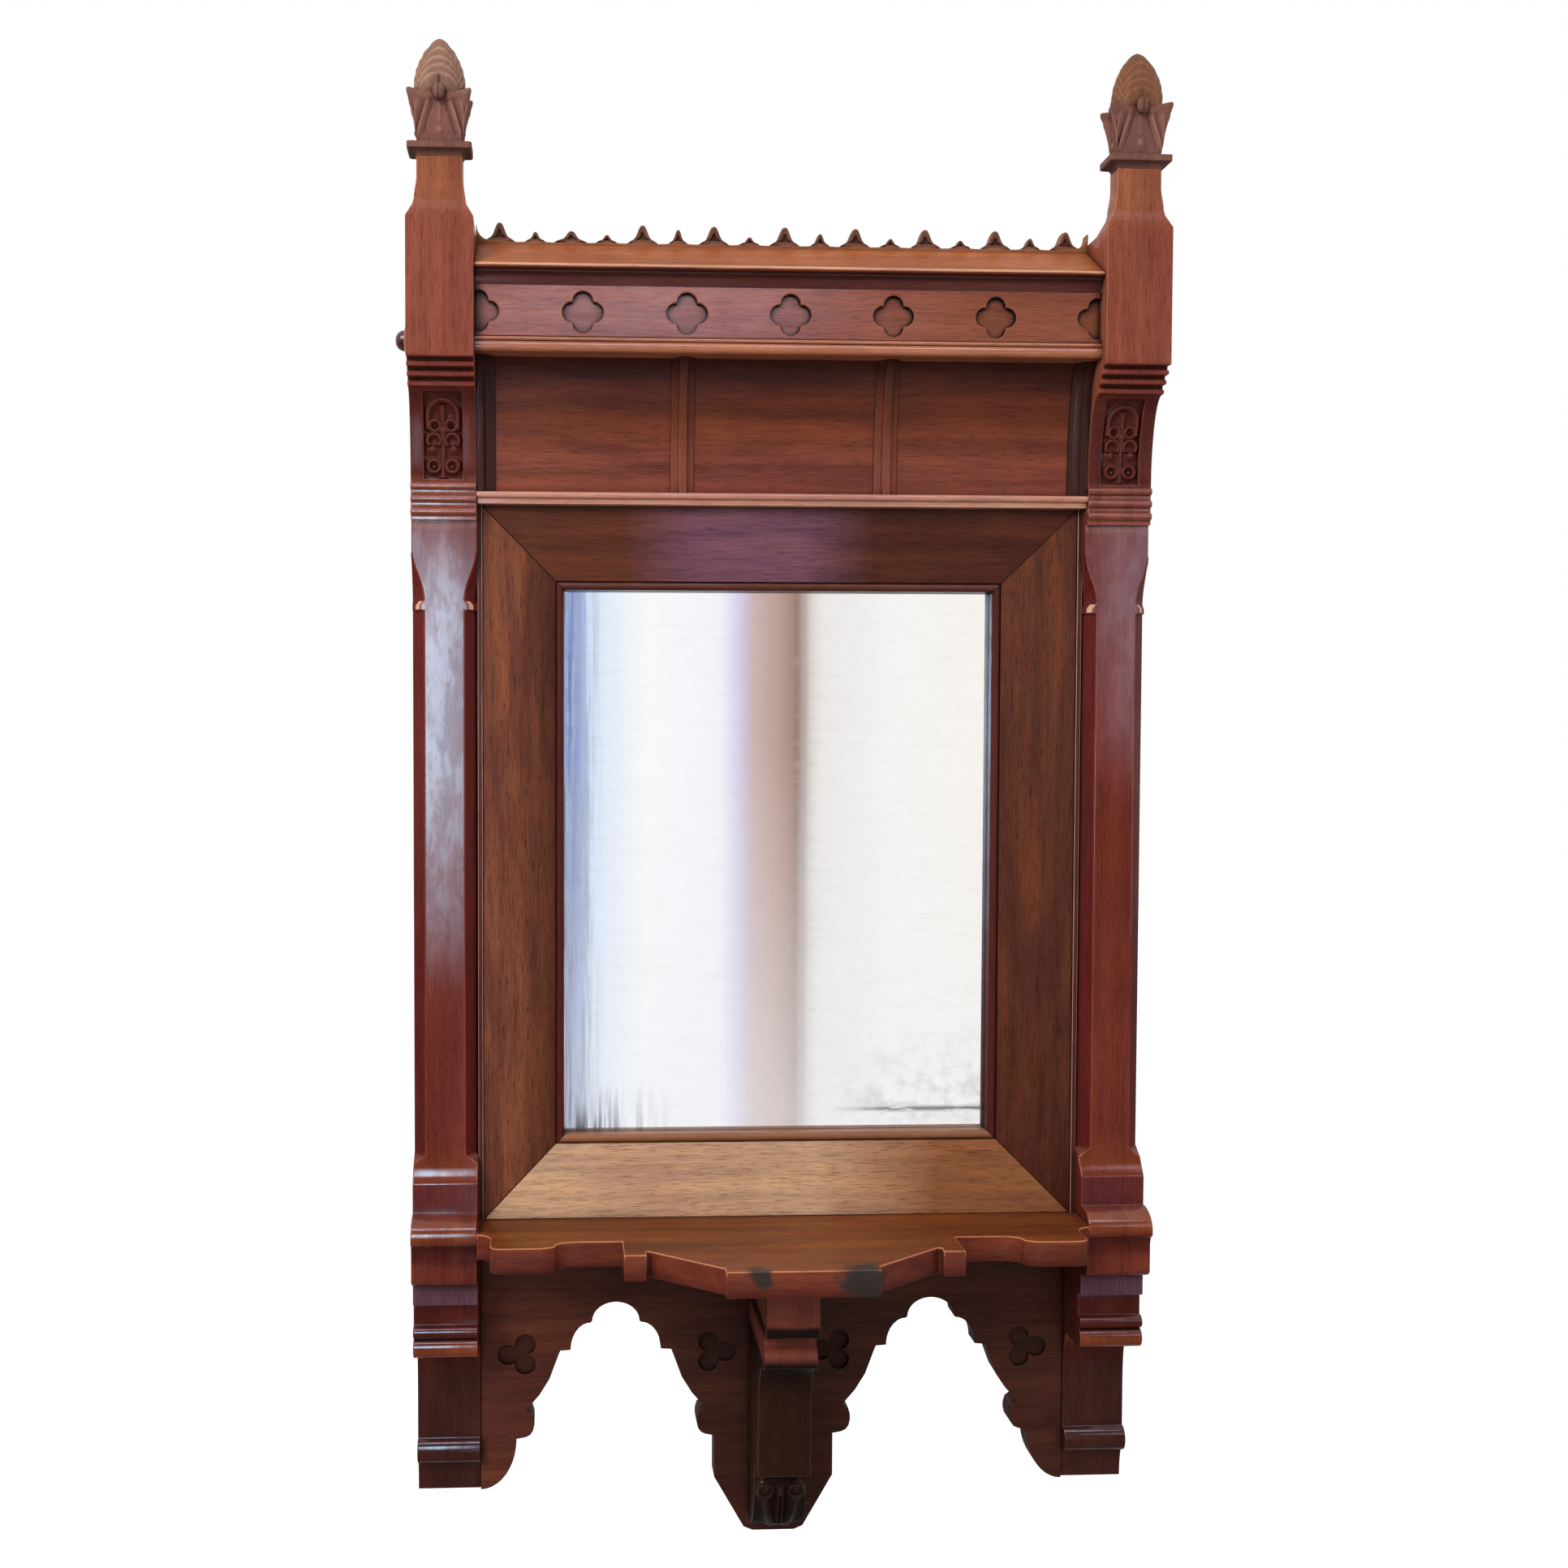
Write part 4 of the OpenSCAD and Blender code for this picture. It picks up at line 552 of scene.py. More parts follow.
def join_rings(bm, rings):
    """Faces between rings of points, each to the next."""
    around = len(rings[0])
    for first, second in zip(rings, rings[1:]):
        for i in range(around):
            k = (i + 1) % around
            bm.faces.new([first[i], first[k], second[k], second[i]])


def piece_from(name, mesh, slot, replaced, materials):
    """Puts a finished mesh into the scene as a piece of the mirror."""
    piece = placed(name, mesh)
    kinds = [face.material_index for face in mesh.polygons]
    mesh.materials.clear()
    for material in materials:
        mesh.materials.append(material)
    for face, kind in zip(mesh.polygons, kinds):
        face.material_index = kind
    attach(piece, BODY)
    if replaced:
        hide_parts(*replaced)
    return piece


def applied(piece):
    """The plain mesh that a piece's modifiers make. The piece itself is removed."""
    bpy.context.view_layer.update()
    seen = piece.evaluated_get(bpy.context.evaluated_depsgraph_get())
    mesh = bpy.data.meshes.new_from_object(seen)
    bpy.data.objects.remove(piece)
    return mesh


def merged_copy(node):
    """A welded bmesh copy of a CAD node, with its flat faces made whole."""
    bm = bmesh.new()
    bm.from_mesh(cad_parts[node].data)
    bmesh.ops.remove_doubles(bm, verts=bm.verts, dist=wear().merge)
    bmesh.ops.dissolve_limit(bm, angle_limit=math.radians(0.4), verts=bm.verts, edges=bm.edges)
    return bm


def front_of(node, x, start=-0.3):
    """A call that gives the depth of a node's front at x, by level. start is in front of it."""
    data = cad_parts[node].data
    tree = BVHTree.FromPolygons([v.co for v in data.vertices], [p.vertices for p in data.polygons])
    found = {}

    def depth(z):
        if z not in found:
            found[z] = tree.ray_cast(Vector((x, start, z)), Vector((0, 1, 0)))[0].y
        return found[z]

    return depth


def soften(bm, name, width):
    """Wears the sharp outer edges of a board. The worn faces get the second material, which on most
    boards paints them paler, as wear and as a painted highlight.
    """
    marks = bm.edges.layers.float.new("bevel_weight_edge")
    for edge in bm.edges:
        turn = edge.calc_face_angle(0) if len(edge.link_faces) == 2 else 0
        if turn > wear().crease:
            if edge.is_convex:
                edge[marks] = 1.0
            else:
                edge.smooth = False
    for face in bm.faces:
        face.smooth = True
        face.material_index = 0
    rough = placed(name + "_rough", mesh_of(bm, name))
    for _ in range(2):
        rough.data.materials.append(None)
    bevel = rough.modifiers.new("worn", "BEVEL")
    bevel.limit_method = "WEIGHT"
    bevel.width = width
    bevel.segments = 2
    bevel.use_clamp_overlap = False
    bevel.material = 1
    flat = rough.modifiers.new("flat", "WEIGHTED_NORMAL")
    flat.keep_sharp = True
    flat.weight = 90
    done = applied(rough)
    done.name = name
    return done


def dress(node, material, edge, slot, width=None):
    """A joinery piece with worn arrises, which stands for its plain node."""
    mesh = soften(merged_copy(node), node + "_wood", width or wear().arris)
    return piece_from(node + "_wood", mesh, slot, [node], [material, edge])


def finish_node(node, material):
    """Gives a CAD node that keeps its shape its finish."""
    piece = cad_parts[node]
    if not piece.material_slots:
        piece.data.materials.append(material)
    for slot in piece.material_slots:
        slot.material = material


def grid_solid(name, columns, rows, front, back):
    """A closed block whose front is a grid of points. front and back take column and row shares."""
    bm = bmesh.new()
    heights = bm.verts.layers.float.new("relief")
    sheets = []
    for side in (front, back):
        sheet = []
        for j in range(rows + 1):
            line = []
            for i in range(columns + 1):
                spot, stands = side(i / columns, j / rows)
                vert = bm.verts.new(spot)
                vert[heights] = stands
                line.append(vert)
            sheet.append(line)
        sheets.append(sheet)
    for sheet, way in zip(sheets, (1, -1)):
        for j in range(rows):
            for i in range(columns):
                ring = [sheet[j][i], sheet[j][i + 1], sheet[j + 1][i + 1], sheet[j + 1][i]]
                bm.faces.new(ring[::way])
    rim = ([(0, i) for i in range(columns)] + [(j, columns) for j in range(rows)]
           + [(rows, i) for i in range(columns, 0, -1)] + [(j, 0) for j in range(rows, 0, -1)])
    for k, (j, i) in enumerate(rim):
        jn, im = rim[(k + 1) % len(rim)]
        bm.faces.new([sheets[0][j][i], sheets[1][j][i], sheets[1][jn][im], sheets[0][jn][im]])
    return mesh_of(bm, name, 50)


def row_of(name, shape, places, material, uneven):
    """Copies of one shape by Geometry Nodes on the given places, each a (point, height scale).
    uneven is how far each copy may be turned about X, Y and Z."""
    tree = bpy.data.node_groups.new(name + " row", "GeometryNodeTree")
    face = tree.interface
    for title, kind in (("Places", "Geometry"), ("Shape", "Object"), ("Uneven", "Vector"), ("Seed", "Int"),
                        ("Finish", "Material")):
        face.new_socket(title, in_out="INPUT", socket_type="NodeSocket" + kind)
    face.new_socket("Row", in_out="OUTPUT", socket_type="NodeSocketGeometry")

    def add(kind, **settings):
        made = tree.nodes.new(kind)
        for key, value in settings.items():
            setattr(made, key, value)
        return made

    given = add("NodeGroupInput").outputs
    info = add("GeometryNodeObjectInfo", transform_space="ORIGINAL")
    worn = add("GeometryNodeInputNamedAttribute", data_type="FLOAT")
    worn.inputs["Name"].default_value = "height"
    chance = add("FunctionNodeRandomValue", data_type="FLOAT_VECTOR")
    chance.inputs[0].default_value = (-1, -1, -1)
    chance.inputs[1].default_value = (1, 1, 1)
    turn = add("ShaderNodeVectorMath", operation="MULTIPLY")
    scale = add("ShaderNodeCombineXYZ")
    for side in ("X", "Y"):
        scale.inputs[side].default_value = 1.0
    copies = add("GeometryNodeInstanceOnPoints")
    real = add("GeometryNodeRealizeInstances")
    finish = add("GeometryNodeSetMaterial")
    row = add("NodeGroupOutput")
    for source, target in (
            (given["Places"], copies.inputs["Points"]), (given["Shape"], info.inputs["Object"]),
            (info.outputs["Geometry"], copies.inputs["Instance"]), (given["Seed"], chance.inputs["Seed"]),
            (chance.outputs["Value"], turn.inputs[0]), (given["Uneven"], turn.inputs[1]),
            (turn.outputs[0], copies.inputs["Rotation"]), (worn.outputs[0], scale.inputs["Z"]),
            (scale.outputs[0], copies.inputs["Scale"]), (copies.outputs[0], real.inputs[0]),
            (real.outputs[0], finish.inputs["Geometry"]), (given["Finish"], finish.inputs["Material"]),
            (finish.outputs[0], row.inputs["Row"])):
        tree.links.new(source, target)

    points = bpy.data.meshes.new(name + "_places")
    points.from_pydata([spot for spot, _ in places], [], [])
    heights = points.attributes.new("height", "FLOAT", "POINT")
    for value, (_, tall) in zip(heights.data, places):
        value.value = tall
    holder = placed(name + "_places", points)
    one = placed(name + "_one", shape)
    rows = holder.modifiers.new("row", "NODES")
    rows.node_group = tree
    keys = {item.name: item.identifier for item in face.items_tree if item.in_out == "INPUT"}
    for title, value in (("Shape", one), ("Uneven", uneven), ("Seed", 7), ("Finish", material)):
        rows[keys[title]] = value
    mesh = applied(holder)
    mesh.name = name
    bpy.data.objects.remove(one)
    return mesh


def bell(distance, spread):
    """A round hill of height 1 and about two spreads wide."""
    return math.exp(-(distance / spread) ** 2)


def ring_ridge(x, z, centre_x, centre_z, radius, spread):
    """A round ridge along a circle."""
    return bell(math.hypot(x - centre_x, z - centre_z) - radius, spread)


class GOTHIC_OT_pillars(bpy.types.Operator):
    """Pillars with worn edges, and the scroll panels carved in their hollows"""
    bl_idname = "gothic.pillars"
    bl_label = "Pillars"

    # Back of the pocket that takes a carved panel
    pocket = -0.044

    def execute(self, context):
        c = context.scene.mirror_wood
        # Colours up the pillar: painted shade at the foot, a painted lilac reflection low on the base, and
        # the shaded hollow under the block
        stops = [(-0.545, c.foot), (-0.445, c.foot), (-0.425, c.base), (-0.405, c.swell), (-0.395, c.base),
                 (-0.369, c.base), (-0.366, c.dust_and_sheen), (-0.351, c.dust_and_sheen), (-0.347, c.base),
                 (-0.341, c.shaft), (-0.328, c.shaft), (-0.321, c.base), (-0.308, c.base),
                 (-0.304, c.swell), (-0.291, c.swell), (-0.286, c.wine), (-0.264, c.wine),
                 (-0.258, c.swell), (-0.23, c.shaft), (0.278, c.shaft), (0.282, c.block),
                 (0.315, c.block), (0.319, c.hollow), (0.386, c.hollow), (0.389, c.reeds),
                 (0.41, c.reeds), (0.412, c.block), (0.515, c.block), (0.54, c.neck), (0.57, c.neck)]
        sides = [(-0.545, c.foot), (-0.42, c.foot), (-0.25, c.shaft), (0.25, c.shaft), (0.33, c.block),
                 (0.57, c.neck)]
        head = (0.318, 0.60)
        front = front_of("pillar_left", self.middle("pillar_left"))(0.1)
        body = wood("pillar polish", stops, figure=0.5, coat=1.0, notch=(0.2130, 0.2200, front + 0.0042),
                    sides=sides, dull_at=head, sheen=0.02)
        edge = wood("pillar arris", stops, figure=0.3, worn=0.6, dirt_and_shade=0.4, coat=1.0, dull_at=head,
                    sides=sides, sheen=0.02)
        carved = wood("scroll carving", stops, place=0.4, figure=0.3, relief=0.32, coat=0.15, sheen=0.02)
        for side in ("left", "right"):
            node = "pillar_" + side
            self.cut_panel(node, body, edge)
            piece_from("scroll_panel_" + side, self.scrolls(node), "mahogany", [], [carved])
        return {"FINISHED"}

    def middle(self, node):
        low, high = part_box(node)
        return (low.x + high.x) / 2

    def cut_panel(self, node, body, edge):
        """Takes out the ground of the carved panel, so that the carving can be set in."""
        s = bpy.context.scene.mirror_carving
        pillar = placed(node + "_welded", mesh_of(merged_copy(node), node + "_welded"))
        size = (2 * s.panel_half, 0.2, s.panel_head - s.panel_foot)
        place = (self.middle(node), self.pocket - size[1] / 2, (s.panel_head + s.panel_foot) / 2)
        bm = bmesh.new()
        bmesh.ops.create_cube(bm, size=1)
        bm.transform(Matrix.Translation(place) @ Matrix.Diagonal((*size, 1)))
        cutter = placed("panel_cut", mesh_of(bm, "panel_cut"))
        cut = pillar.modifiers.new("panel", "BOOLEAN")
        cut.operation = "DIFFERENCE"
        cut.solver = "EXACT"
        cut.object = cutter
        cut_mesh = applied(pillar)
        bpy.data.objects.remove(cutter)
        bm = bmesh.new()
        bm.from_mesh(cut_mesh)
        bmesh.ops.remove_doubles(bm, verts=bm.verts, dist=wear().merge)
        done = soften(bm, node + "_wood", wear().arris)
        piece_from(node + "_wood", done, "mahogany", [node], [body, edge])

    def scrolls(self, node):
        """A carved block that fills the panel: three tiers of scrolls back to back on a stem."""
        s = bpy.context.scene.mirror_carving
        middle = self.middle(node)
        hollow = front_of(node, middle + s.panel_half * 1.25, -0.2)
        tall = s.panel_head - s.panel_foot
        top = tall / s.panel_half

        def stands(x, z):
            """How high the carving stands, in half widths of the panel from its foot up."""
            w, h = abs(x) / s.panel_half, (z - s.panel_foot) / s.panel_half
            parts = [ring_ridge(w, h, 0.47, 0.66, 0.31, 0.14), bell(math.hypot(w - 0.47, h - 0.60), 0.15),
                     bell(math.hypot(w - 0.55, h - 1.52), 0.24),
                     bell(w, 0.16) * (0.85 if h < top - 0.6 else 0),
                     ring_ridge(w, h, 0.47, 1.95, 0.34, 0.13) * (1.0 if h > 1.7 else 0.4),
                     ring_ridge(w, h, 0.42, top - 1.62, 0.27, 0.13), bell(math.hypot(w, h - 2.45), 0.3),
                     bell(math.hypot(w - 0.42, h - top + 1.62), 0.1) * 0.7]
            if h > top - 1.12:
                parts.append(ring_ridge(w, h, 0, top - 1.12, 0.76, 0.15))
            elif h > top - 1.8:
                parts.append(bell(w - 0.76, 0.15))
            edge = min(1.0, (1 - w) / 0.08, (z - s.panel_foot) / 0.001, (s.panel_head - z) / 0.001)
            return min(max(parts), 1.0) * max(edge, 0.0)

        def front(u, v):
            x, z = (2 * u - 1) * s.panel_half, s.panel_foot + v * tall
            lift = stands(x, z)
            return (middle + x, hollow(z) + s.panel_sunk - lift * s.scroll, z), lift

        def back(u, v):
            return (middle + (2 * u - 1) * s.panel_half, self.pocket - 0.0002, s.panel_foot + v * tall), 0.0

        return grid_solid("scrolls_" + node, 90, 190, front, back)


class GOTHIC_OT_finials(bpy.types.Operator):
    """Carved finials: collar, leaf capital with curled tips, and a bud of overlapping petals"""
    bl_idname = "gothic.finials"
    bl_label = "Finials"

    # Outlines over the neck in millimetres: (outwards, up). The corner one runs up the leaf at each
    # corner, the face one up the middle of each face.
    collar_points = [(0, 0), (0.3, 1.2), (1.5, 3.0), (4.4, 4.3), (6.5, 4.7), (7.2, 5.1), (7.4, 5.7),
                     (7.4, 9.0), (6.9, 9.8), (1.6, 10.3), (0.2, 10.8)]
    corner_points = [(0.0, 14), (0.1, 20), (0.8, 28), (2.6, 36), (5.2, 42.4), (7.0, 46.4), (7.7, 49.2),
                     (7.6, 51.0), (6.6, 51.6), (3.6, 51.2), (0.8, 50.6)]
    face_points = [(0.0, 14), (0.2, 20), (0.6, 28), (0.8, 34), (0.6, 38.5), (1.4, 41.4), (3.2, 43.6),
                   (4.0, 45.4), (3.7, 47.0), (2.2, 48.4), (0.2, 50.2)]
    # Half outline of the bud, in shares of its half width and of its height
    bud_shape = [(1.0, 0.03), (1.02, 0.14), (1.01, 0.30), (0.97, 0.44), (0.88, 0.58), (0.74, 0.73),
                 (0.55, 0.85), (0.34, 0.94), (0.12, 0.992)]
    petal_levels = [0.30, 0.46, 0.62, 0.80]
    # How far the outlines could reach over the neck, where the depth allows as much as the width
    reach = 0.0084
    # Powers of the squared rings: nearly square below, rounder in the bud
    square, rounder = 16, 3.6

    def execute(self, context):
        c = context.scene.mirror_wood
        low, high = FINIAL_LOW.z, FINIAL_HIGH.z
        for side, bud, crisp in (("left", c.finial, 1.0), ("right", c.finial_shade, 0.55)):
            stops = [(low, c.capital), (low + 0.045, c.capital), (low + 0.055, bud), (high, bud)]
            carved = wood("finial carving " + side, stops, place=0.9, figure=0.35, rough=0.5, coat=0.0,
                          relief=0.9)
            node = "finial_" + side
            piece_from(node + "_carved", self.carve(node, crisp), "mahogany", [node], [carved])
        return {"FINISHED"}

    def smooth_rows(self, points, steps):
        """Points along a smooth line through the given ones."""
        line = []
        for k in range(len(points) - 1):
            before = points[max(k - 1, 0)]
            after = points[min(k + 2, len(points) - 1)]
            for i in range(steps):
                t = i / steps
                line.append(tuple(
                    0.5 * (2 * b + (c - a) * t + (2 * a - 5 * b + 4 * c - d) * t * t
                           + (3 * b - a - 3 * c + d) * t ** 3)
                    for a, b, c, d in zip(before, points[k], points[k + 1], after)))
        line.append(points[-1])
        return line

    def carve(self, node, crisp):
        """One finial. crisp is how deep its petals still are."""
        s = bpy.context.scene.mirror_finial
        low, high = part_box(node)
        centre = (low + high) / 2
        neck_a, neck_b = s.neck_width / 2, s.neck_depth / 2
        bud_z = low.z + s.collar + s.capital
        bud_h = high.z - bud_z
        corner_line = self.smooth_rows(self.collar_points + self.corner_points, s.rows)
        face_line = self.smooth_rows(self.collar_points + self.face_points, s.rows)
        bud_line = self.smooth_rows(self.bud_shape, s.rows)
        depth_share = (centre.y - low.y - neck_b) / self.reach
        bm = bmesh.new()
        heights = bm.verts.layers.float.new("relief")
        rings = []
        quarter = s.around // 4
        path = []
        for side in range(4):
            for i in range(quarter):
                along = math.sin(math.pi / 2 * (2 * i / quarter - 1))
                path.append([(along, -1), (1, along), (-along, 1), (-1, -along)][side] + (along,))

        def ring_of(place):
            ring = []
            for px, py, along in path:
                spot, stands = place(px, py, along)
                vert = bm.verts.new(spot)
                vert[heights] = stands
                ring.append(vert)
            rings.append(ring)

        def spot_at(px, py, a, b, power, z):
            k = (abs(px) ** power + abs(py) ** power) ** (-1 / power)
            return (centre.x + px * a * k, centre.y + py * b * k, z)

        for (co, cz), (fo, fz) in zip(corner_line, face_line):
            in_capital = min(max((fz - 11.5) / 3, 0), 1)
            in_bud = min(max((fz - 47.0) / 3.4, 0), 1)

            def place(px, py, along):
                wide = neck_a if abs(py) == 1 else neck_b
                leaf = bell((1 - abs(along)) * wide, 0.0052)
                out = (fo + (co - fo) * leaf) * 0.001
                z = fz + (cz - fz) * leaf
                lift, stands = self.leaf_relief(along * wide * 1000, z, wide * 1000)
                lift *= in_capital * (1 - in_bud)
                a = neck_a + out + lift
                b = neck_b + out * depth_share + lift * 0.7
                a += (s.bud_width / 2 * 0.97 - a) * in_bud
                b += (s.bud_depth / 2 * 0.97 - b) * in_bud
                power = self.square + (self.rounder - self.square) * in_bud
                # The underside of the collar is given painted shade
                stands = 0.2 if 0.3 < fz < 4.6 else 0.44 + stands * in_capital * (1 - in_bud)
                return spot_at(px, py, a, b, power, low.z + z * 0.001), stands

            ring_of(place)
        for width, up in bud_line[1:]:
            def place(px, py, along):
                drop = 0.30 * along * along
                step = 0.0
                rim = 0.0
                for level in self.petal_levels:
                    gap = up - (level - drop)
                    step += 1 / (1 + math.exp(-gap / 0.007))
                    rim = max(rim, bell(gap + 0.03, 0.03) - bell(gap - 0.014, 0.014))
                cleft = bell(along, 0.07) * (1 if up < 0.26 else 0)
                rim -= cleft
                fade = min(1.0, (1 - up) / 0.15)
                lift = s.petal * crisp * (1.6 - step * 0.8 - cleft)
                a = width * s.bud_width / 2 + lift * fade - s.petal
                b = width * s.bud_depth / 2 + lift * fade - s.petal
                # The petal rims stand high, so the finish paints them paler, as wear and as a painted
                # highlight
                return (spot_at(px, py, a, b, self.rounder - 1.2 * up, bud_z + up * bud_h),
                        0.5 + 0.5 * rim * fade * crisp)

            ring_of(place)
        join_rings(bm, rings)
        bm.faces.new(rings[0][::-1])
        top = bm.verts.new((centre.x, centre.y, high.z - s.petal * 0.3))
        top[heights] = 0.5
        for i in range(len(path)):
            bm.faces.new([rings[-1][i], rings[-1][(i + 1) % len(path)], top])
        self.add_knobs(bm, heights, centre, low.z, neck_a, neck_b)
        return mesh_of(bm, node + "_carved", 48)

    def leaf_relief(self, x, z, half):
        """Carving on one face of the capital: a stem, a bead at its foot and a long lobe each side."""
        up = (z - 12) / 34
        if not -0.05 < up < 1.1:
            return 0.0, 0.0
        low_lobe = half * (0.98 - 0.62 * max(up, 0))
        high_lobe = half * (1.30 - 0.62 * max(up, 0))
        fade = min(1, max(0, up * 5)) * min(1, max(0, (1.02 - up) * 5))
        stem = bell(x, 1.5) * 1.2 * (1 if up > 0.42 else 0.3)
        bead = bell(math.hypot(x, (z - 20) * 0.8), 2.5) * 2.2
        lobes = (bell(abs(x) - low_lobe, 1.5) * 2.0 + bell(abs(x) - high_lobe, 1.4) * 1.6) * fade
        grooves = (bell(abs(x) - low_lobe + 2.9, 1.1) + bell(abs(x) - high_lobe + 2.6, 1.0)) * fade
        lift = max(stem, bead, lobes) - grooves * 1.1
        return lift * 0.001, lift * 0.24

    def add_knobs(self, bm, heights, centre, foot, neck_a, neck_b):
        """A curled knob over the middle leaf of each face, split by a groove down its middle."""
        s = bpy.context.scene.mirror_finial
        z = foot + 0.0485
        for dx, dy in ((0, -1), (0, 1), (-1, 0), (1, 0)):
            reach = (neck_b + 0.0044) if dy else (neck_a + 0.0020)
            radius = s.knob if dy else s.knob * 0.75
            made = bmesh.ops.create_uvsphere(bm, u_segments=28, v_segments=18, radius=radius)
            for vert in made["verts"]:
                p = vert.co
                across = p.x if dy else p.y
                groove = 1 - 0.16 * bell(across, radius * 0.22)
                curl = 1 - 0.12 * bell(p.z + radius * 0.1, radius * 0.2)
                vert.co = Vector((centre.x + dx * reach + p.x * groove * curl * (1 if dy else 0.7),
                                  centre.y + dy * reach + p.y * groove * curl * (0.75 if dy else 1),
                                  z + p.z * 1.25))
                vert[heights] = 0.62 - 0.5 * bell(across, radius * 0.2)


class GOTHIC_OT_crest(bpy.types.Operator):
    """Crest board with its row of worn spikes"""
    bl_idname = "gothic.crest"
    bl_label = "Crest"

    # Half outline of a spike as shares of its half width and height, from its foot to its point
    half_shape = [(1.6, -0.14), (1.3, 0.0), (0.96, 0.1), (0.72, 0.26), (0.54, 0.5), (0.38, 0.76),
                  (0.22, 0.94), (0.0, 1.0)]
    # Loops of a spike from its back to its eye: (depth from its front, size, how high the wood stands)
    # How high the wood stands sets the painted highlight on the front rim and the painted shade in the sunk
    # eye
    front_loops = [(0.0032, 1.0, 0.7), (0.0008, 0.93, 1.0), (0, 0.8, 0.9), (0.0004, 0.68, 0.35),
                   (0.0004, 0.42, 0.4), (0.0026, 0.28, 0.0)]
    # How much of each spike's height is left, from left to right
    worn_large = [1, 0.56, 0.96, 0.95, 0.97, 0.95, 0.96, 0.95, 0.95]
    worn_small = [0.66, 0.5, 1, 0.5, 0.85, 0.55, 0.5, 0.75]

    def execute(self, context):
        c = context.scene.mirror_wood
        s = context.scene.mirror_carving
        bleached = wood("crest", [(0, c.crest)], "X", 0.3, figure=0.4, rough=0.5, coat=0.0, worn=0.25)
        pointed = wood("crest spikes", [(0, c.spikes)], "Z", 0.3, figure=0.4, rough=0.5, coat=0.0, dirt_and_shade=0.5,
                       relief=0.6)
        low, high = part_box("crest")
        valley = high.z - 0.0156
        board = self.board(low, high, valley)
        piece_from("crest_board", board, "mahogany", ["crest"], [bleached, bleached])
        last = round((high.x - s.crest_end - s.spike_half) / s.spike_pitch)
        middle = (high.y + low.y) / 2
        for name, half, tall, worn, steps, start in (
                ("crest_spikes", s.spike_half, s.spike_height, self.worn_large, range(-last, last + 1), 0),
                ("crest_small_spikes", s.spikelet_half, s.spikelet_height, self.worn_small,
                 range(-last, last), 0.5)):
            leaf = self.spike(name + "_leaf", half, tall, high.y - low.y)
            places = [(((i + start) * s.spike_pitch, middle, valley), worn[(i + last) % len(worn)])
                      for i in steps]
            mesh = row_of(name, leaf, places, pointed, (0.02, 0.03, 0.05))
            piece_from(name, mesh, "mahogany", [], [pointed])
        return {"FINISHED"}

    def board(self, low, high, valley):
        """The board, with its top edge swept up at each end."""
        s = bpy.context.scene.mirror_carving
        steps = 14
        sweep_top = high.z - s.crest_end * 0.3
        sweep = []
        for i in range(steps + 1):
            a = math.pi / 2 * i / steps
            sweep.append((low.x + s.crest_end * (1 - math.cos(a)),
                          sweep_top - (high.z - valley - s.crest_end * 0.3) * math.sin(a)))
        half_step = s.spike_pitch / 4
        spans = int((high.x - s.crest_end) / half_step)
        dips = 8
        valleys = []
        for k in range(-spans * dips, spans * dips + 1):
            valleys.append((k * half_step / dips, valley - 0.0016 * abs(math.sin(math.pi * k / dips / 2))))
        outline = [(low.x, low.z), *sweep, *valleys, *((-x, z) for x, z in reversed(sweep)), (high.x, low.z)]
        bm = bmesh.new()
        face = bm.faces.new([bm.verts.new((x, low.y, z)) for x, z in outline])
        grown = bmesh.ops.extrude_face_region(bm, geom=[face])
        bmesh.ops.translate(bm, vec=(0, high.y - low.y, 0),
                            verts=[v for v in grown["geom"] if isinstance(v, bmesh.types.BMVert)])
        bmesh.ops.recalc_face_normals(bm, faces=bm.faces)
        return soften(bm, "crest_board", wear().fine_arris)

    def spike(self, name, half, tall, thick):
        """One spike of the crest: rounded flanks, and a sunk three-cornered eye at its foot."""
        shape = self.half_shape
        outline = [(-x * half, z * tall) for x, z in shape] + [(x * half, z * tall) for x, z in shape[-2::-1]]
        heart = tall * 0.3
        bm = bmesh.new()
        heights = bm.verts.layers.float.new("relief")
        rings = []
        for y, scale, stands in ((thick / 2 - 0.001, 0.93, 0.5), (thick / 2 - 0.003, 1.0, 0.5),
                                 *((-thick / 2 + depth, scale, stands)
                                   for depth, scale, stands in self.front_loops)):
            ring = [bm.verts.new((x * scale, y, heart + (z - heart) * scale)) for x, z in outline]
            for vert in ring:
                vert[heights] = stands
            rings.append(ring)
        join_rings(bm, rings)
        bm.faces.new(rings[0][::-1])
        bm.faces.new(rings[-1])
        return mesh_of(bm, name, 40)


